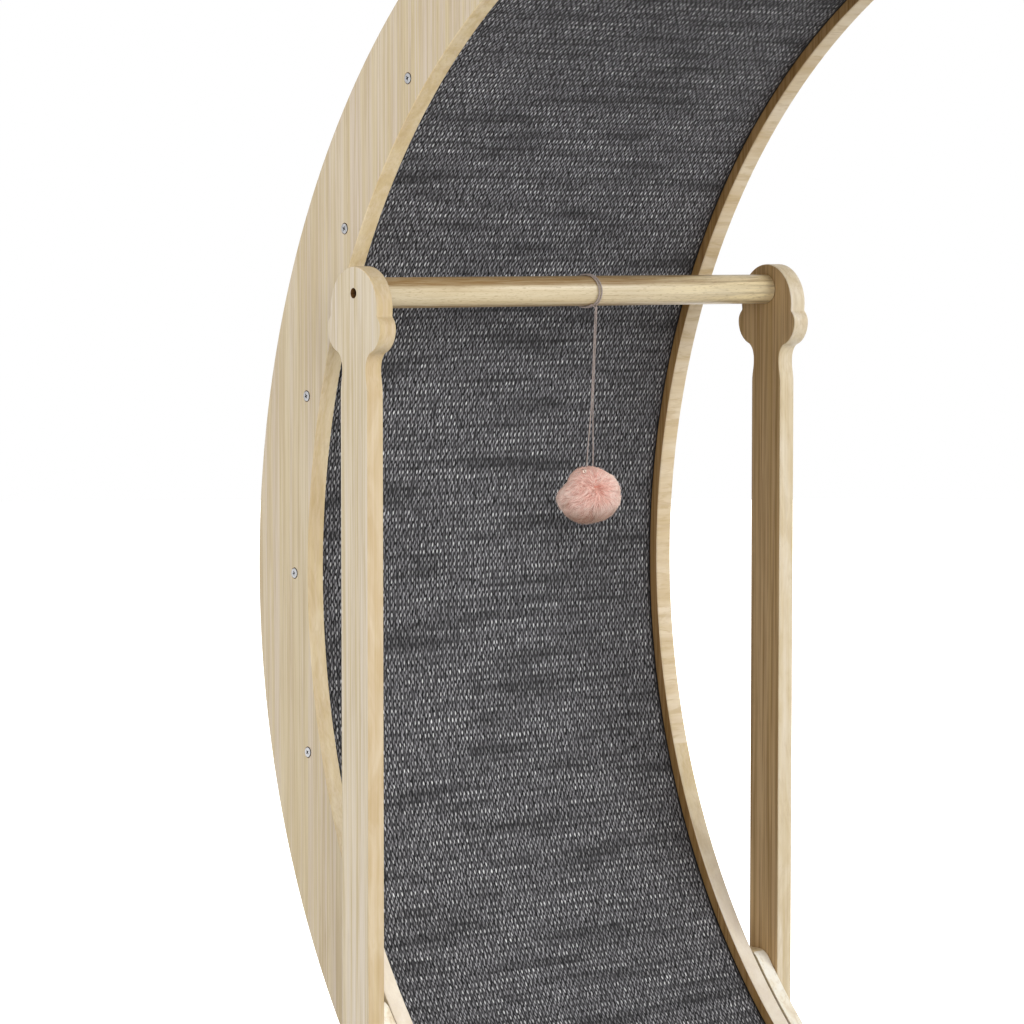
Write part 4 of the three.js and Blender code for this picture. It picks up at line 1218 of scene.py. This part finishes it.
random.seed(4)
for endLabel, endSign in ends:
    place = Vector((0, endSign * rollerY, rollerZ))
    rod = turn(f"axle_rod_{endLabel}", [(-0.171, 0), (-0.171, 0.0035), (-0.1705, 0.004), (0.1705, 0.004), (0.171, 0.0035),
                                       (0.171, 0)], place, steps=32)
    rod.data.materials.append(zincSteel)
    smooth(rod, 40)
    finishPiece(rod, "base", "steel", f"axle_{endLabel}")
    tube = turn(f"spacer_tube_{endLabel}", roundedBand(-0.136, 0.136, 0.0042, 0.0064, 0.0003, 2), place, steps=48)
    tube.data.materials.append(zincSteel)
    smooth(tube, 40)
    finishPiece(tube, "base", "steel", f"axle_spacer_{endLabel}")
    for label, sign in sides:
        nut = makeCapNut(f"cap_nut_{endLabel}_{label}_dressed", Vector((sign * 0.164, endSign * rollerY, rollerZ)), sign)
        finishPiece(nut, "base", "steel", f"cap_nut_{endLabel}_{label}")
        body = f"{endLabel}_{label}_roller"
        wheelPiece = makeRoller(f"flanged_roller_{endLabel}_{label}", place, sign)
        finishPiece(wheelPiece, body, "dark_nylon", f"roller_{endLabel}_{label}")
        bearing = makeBearing(f"ball_bearing_{endLabel}_{label}", place, sign)
        finishPiece(bearing, body, "steel", f"bearing_{endLabel}_{label}")
print("rollers, axles and nuts in place")


# countersunk cross-head screws

screw = {"head": 0.0033, "shank": 0.0018, "length": 0.012, "proud": 0.0005, "slotWidth": 0.001, "slotReach": 0.0022,
         "slotDepth": 0.0013}


def makeScrew():
    body = turn("screw", [(0, 0), (0, screw["head"] - 0.0002), (0.0002, screw["head"]),
                          (0.0004, screw["head"]), (0.0019, screw["shank"]), (screw["length"], screw["shank"]),
                          (screw["length"] + 0.001, 0)], (0, 0, 0), steps=24)
    cutters = []
    for turned in (0, pi / 2):
        clearSelection()
        bpy.ops.mesh.primitive_cube_add(size=1, location=(0, 0, 0))
        blade = bpy.context.object
        startEdit(blade)
        bpy.ops.transform.resize(value=(2 * screw["slotDepth"], 2 * screw["slotReach"], screw["slotWidth"]))
        bpy.ops.mesh.select_all(action="DESELECT")
        endEdit()
        for vertex in blade.data.vertices:
            if vertex.co.x > 0:
                vertex.co.y *= 0.35
                vertex.co.z *= 0.55
        blade.data.transform(Matrix.Rotation(turned, 4, "X"))
        cutters.append(blade)
    for cutter in cutters:
        applyModifier(body, "BOOLEAN", operation="DIFFERENCE", solver="EXACT", object=cutter)
        bpy.data.objects.remove(cutter)
    body.data.materials.clear()
    body.data.materials.append(screwSteel)
    body.data.materials.append(shadedSlotSteel)
    # painted shade: the faces inside the slot get the near-black steel
    for polygon in body.data.polygons:
        inSlot = polygon.center.x > 0.0001 and math.hypot(polygon.center.y, polygon.center.z) < screw["slotReach"] * 0.99
        polygon.material_index = 1 if inSlot and polygon.center.x < 0.0015 else 0
    smooth(body, 30)
    return body


firstScrew = makeScrew()


def driveScrews(name, body, slot, places, sign, sunk=0.0):
    # copies at those places, each turned as it happened to end
    made = []
    for i, (y, z) in enumerate(places):
        x = sign * (places[(y, z)] + screw["proud"] - sunk)
        placed = Matrix.Translation((x, y, z))
        if sign > 0:
            placed = placed @ Matrix.Rotation(pi, 4, "Z")
        made.append(copyOf(firstScrew, f"{name}_{i}", placed @ Matrix.Rotation(random.uniform(0, pi), 4, "X")))
    piece = joinAll(made, name)
    finishPiece(piece, body, slot)
    return piece


random.seed(9)
for label, sign in sides:
    around = {}
    for i in range(ring["holes"]):
        angle = 2 * pi * i / ring["holes"]
        around[(ring["holeRing"] * math.cos(angle), wheelCentre.z + ring["holeRing"] * math.sin(angle))] = ring["face"]
    driveScrews(f"ring_screws_{label}", "wheel", "steel", around, sign)
    lower = {(barCentre.y, height): post["inner"] + post["thickness"] for height in post["screwHeights"]}
    driveScrews(f"post_screws_{label}", "base", "steel", lower, sign)
    front = {(-barCentre.y, height): cheek["inner"] + cheek["thickness"] for height in cheek["screwHeights"]}
    driveScrews(f"cheek_screws_{label}", "base", "steel", front, sign)
    driveScrews(f"bar_screw_{label}", "base", "steel", {(barCentre.y, barCentre.z): post["inner"] + post["thickness"]},
                sign, sunk=post["boreDepth"] - 0.0008)
bpy.data.objects.remove(firstScrew)
print("screws driven")


# floor, world and lamps

studio = {"ambient": 0.5, "keyPower": 58, "keyPlace": (-3.4, 2.0, 2.2), "keySize": 2.0,
          "fillPower": 112, "fillPlace": (-1.75, -3.7, 1.7), "fillSize": 2.0,
          "sidePower": 92, "sidePlace": (2.6, -3.2, 2.4), "sideSize": 2.0}

clearSelection()
bpy.ops.mesh.primitive_circle_add(vertices=96, radius=9, fill_type="NGON", location=(0, 0, 0))
floor = nameIt(bpy.context.object, "studio_floor")
floorPaint, tree, shader = blankMaterial("floor_paint")
seen = put(tree, "ShaderNodeLightPath")
far = put(tree, "ShaderNodeVectorMath", {0: put(tree, "ShaderNodeTexCoord").outputs["Object"]}, operation="LENGTH")
glow = spanOf(tree, far.outputs["Value"], 0.6, 1.15)
glow = calc(tree, "ADD", calc(tree, "MULTIPLY", glow, 0.9), 0.34)
glow = calc(tree, "MULTIPLY", glow, calc(tree, "MAXIMUM", seen.outputs["Is Camera Ray"], seen.outputs["Is Glossy Ray"]))
speckle = noiseOn(tree, stretched(tree, (1, 1, 1)), 60, 3.0)
floorTone = blendColours(tree, speckle, paint(228, 228, 228), paint(234, 234, 234))
tree.links.new(floorTone, shader.inputs["Base Color"])
shader.inputs["Roughness"].default_value = 0.9
shader.inputs["Specular IOR Level"].default_value = 0.1
shader.inputs["Emission Color"].default_value = (1, 1, 1, 1)
tree.links.new(glow, shader.inputs["Emission Strength"])
floor.data.materials.append(floorPaint)

world = bpy.data.worlds.new("studio_world")
bpy.context.scene.world = world
world.use_nodes = True
tree = world.node_tree
tree.nodes.clear()
path = put(tree, "ShaderNodeLightPath")
straight = calc(tree, "MAXIMUM", path.outputs["Is Camera Ray"], path.outputs["Is Glossy Ray"])
straight = calc(tree, "MAXIMUM", straight, path.outputs["Is Transmission Ray"])
soft = put(tree, "ShaderNodeBackground", {"Color": (1, 0.985, 0.96, 1), "Strength": studio["ambient"]})
white = put(tree, "ShaderNodeBackground", {"Color": (1, 1, 1, 1), "Strength": 1.0})
mixed = put(tree, "ShaderNodeMixShader", {0: straight, 1: soft.outputs[0], 2: white.outputs[0]})
put(tree, "ShaderNodeOutputWorld", {"Surface": mixed.outputs[0]})


def hangLamp(name, place, size, power):
    aim = (wheelCentre - Vector(place)).to_track_quat("-Z", "Y").to_euler()
    bpy.ops.object.light_add(type="AREA", location=place, rotation=aim)
    lamp = nameIt(bpy.context.object, name)
    lamp.data.energy = power
    lamp.data.size = size
    return lamp


hangLamp("key_lamp", studio["keyPlace"], studio["keySize"], studio["keyPower"])
hangLamp("fill_lamp", studio["fillPlace"], studio["fillSize"], studio["fillPower"])
hangLamp("side_lamp", studio["sidePlace"], studio["sideSize"], studio["sidePower"])

bpy.context.scene.view_settings.view_transform = "Standard"
print("studio lit")

print("scene ready")
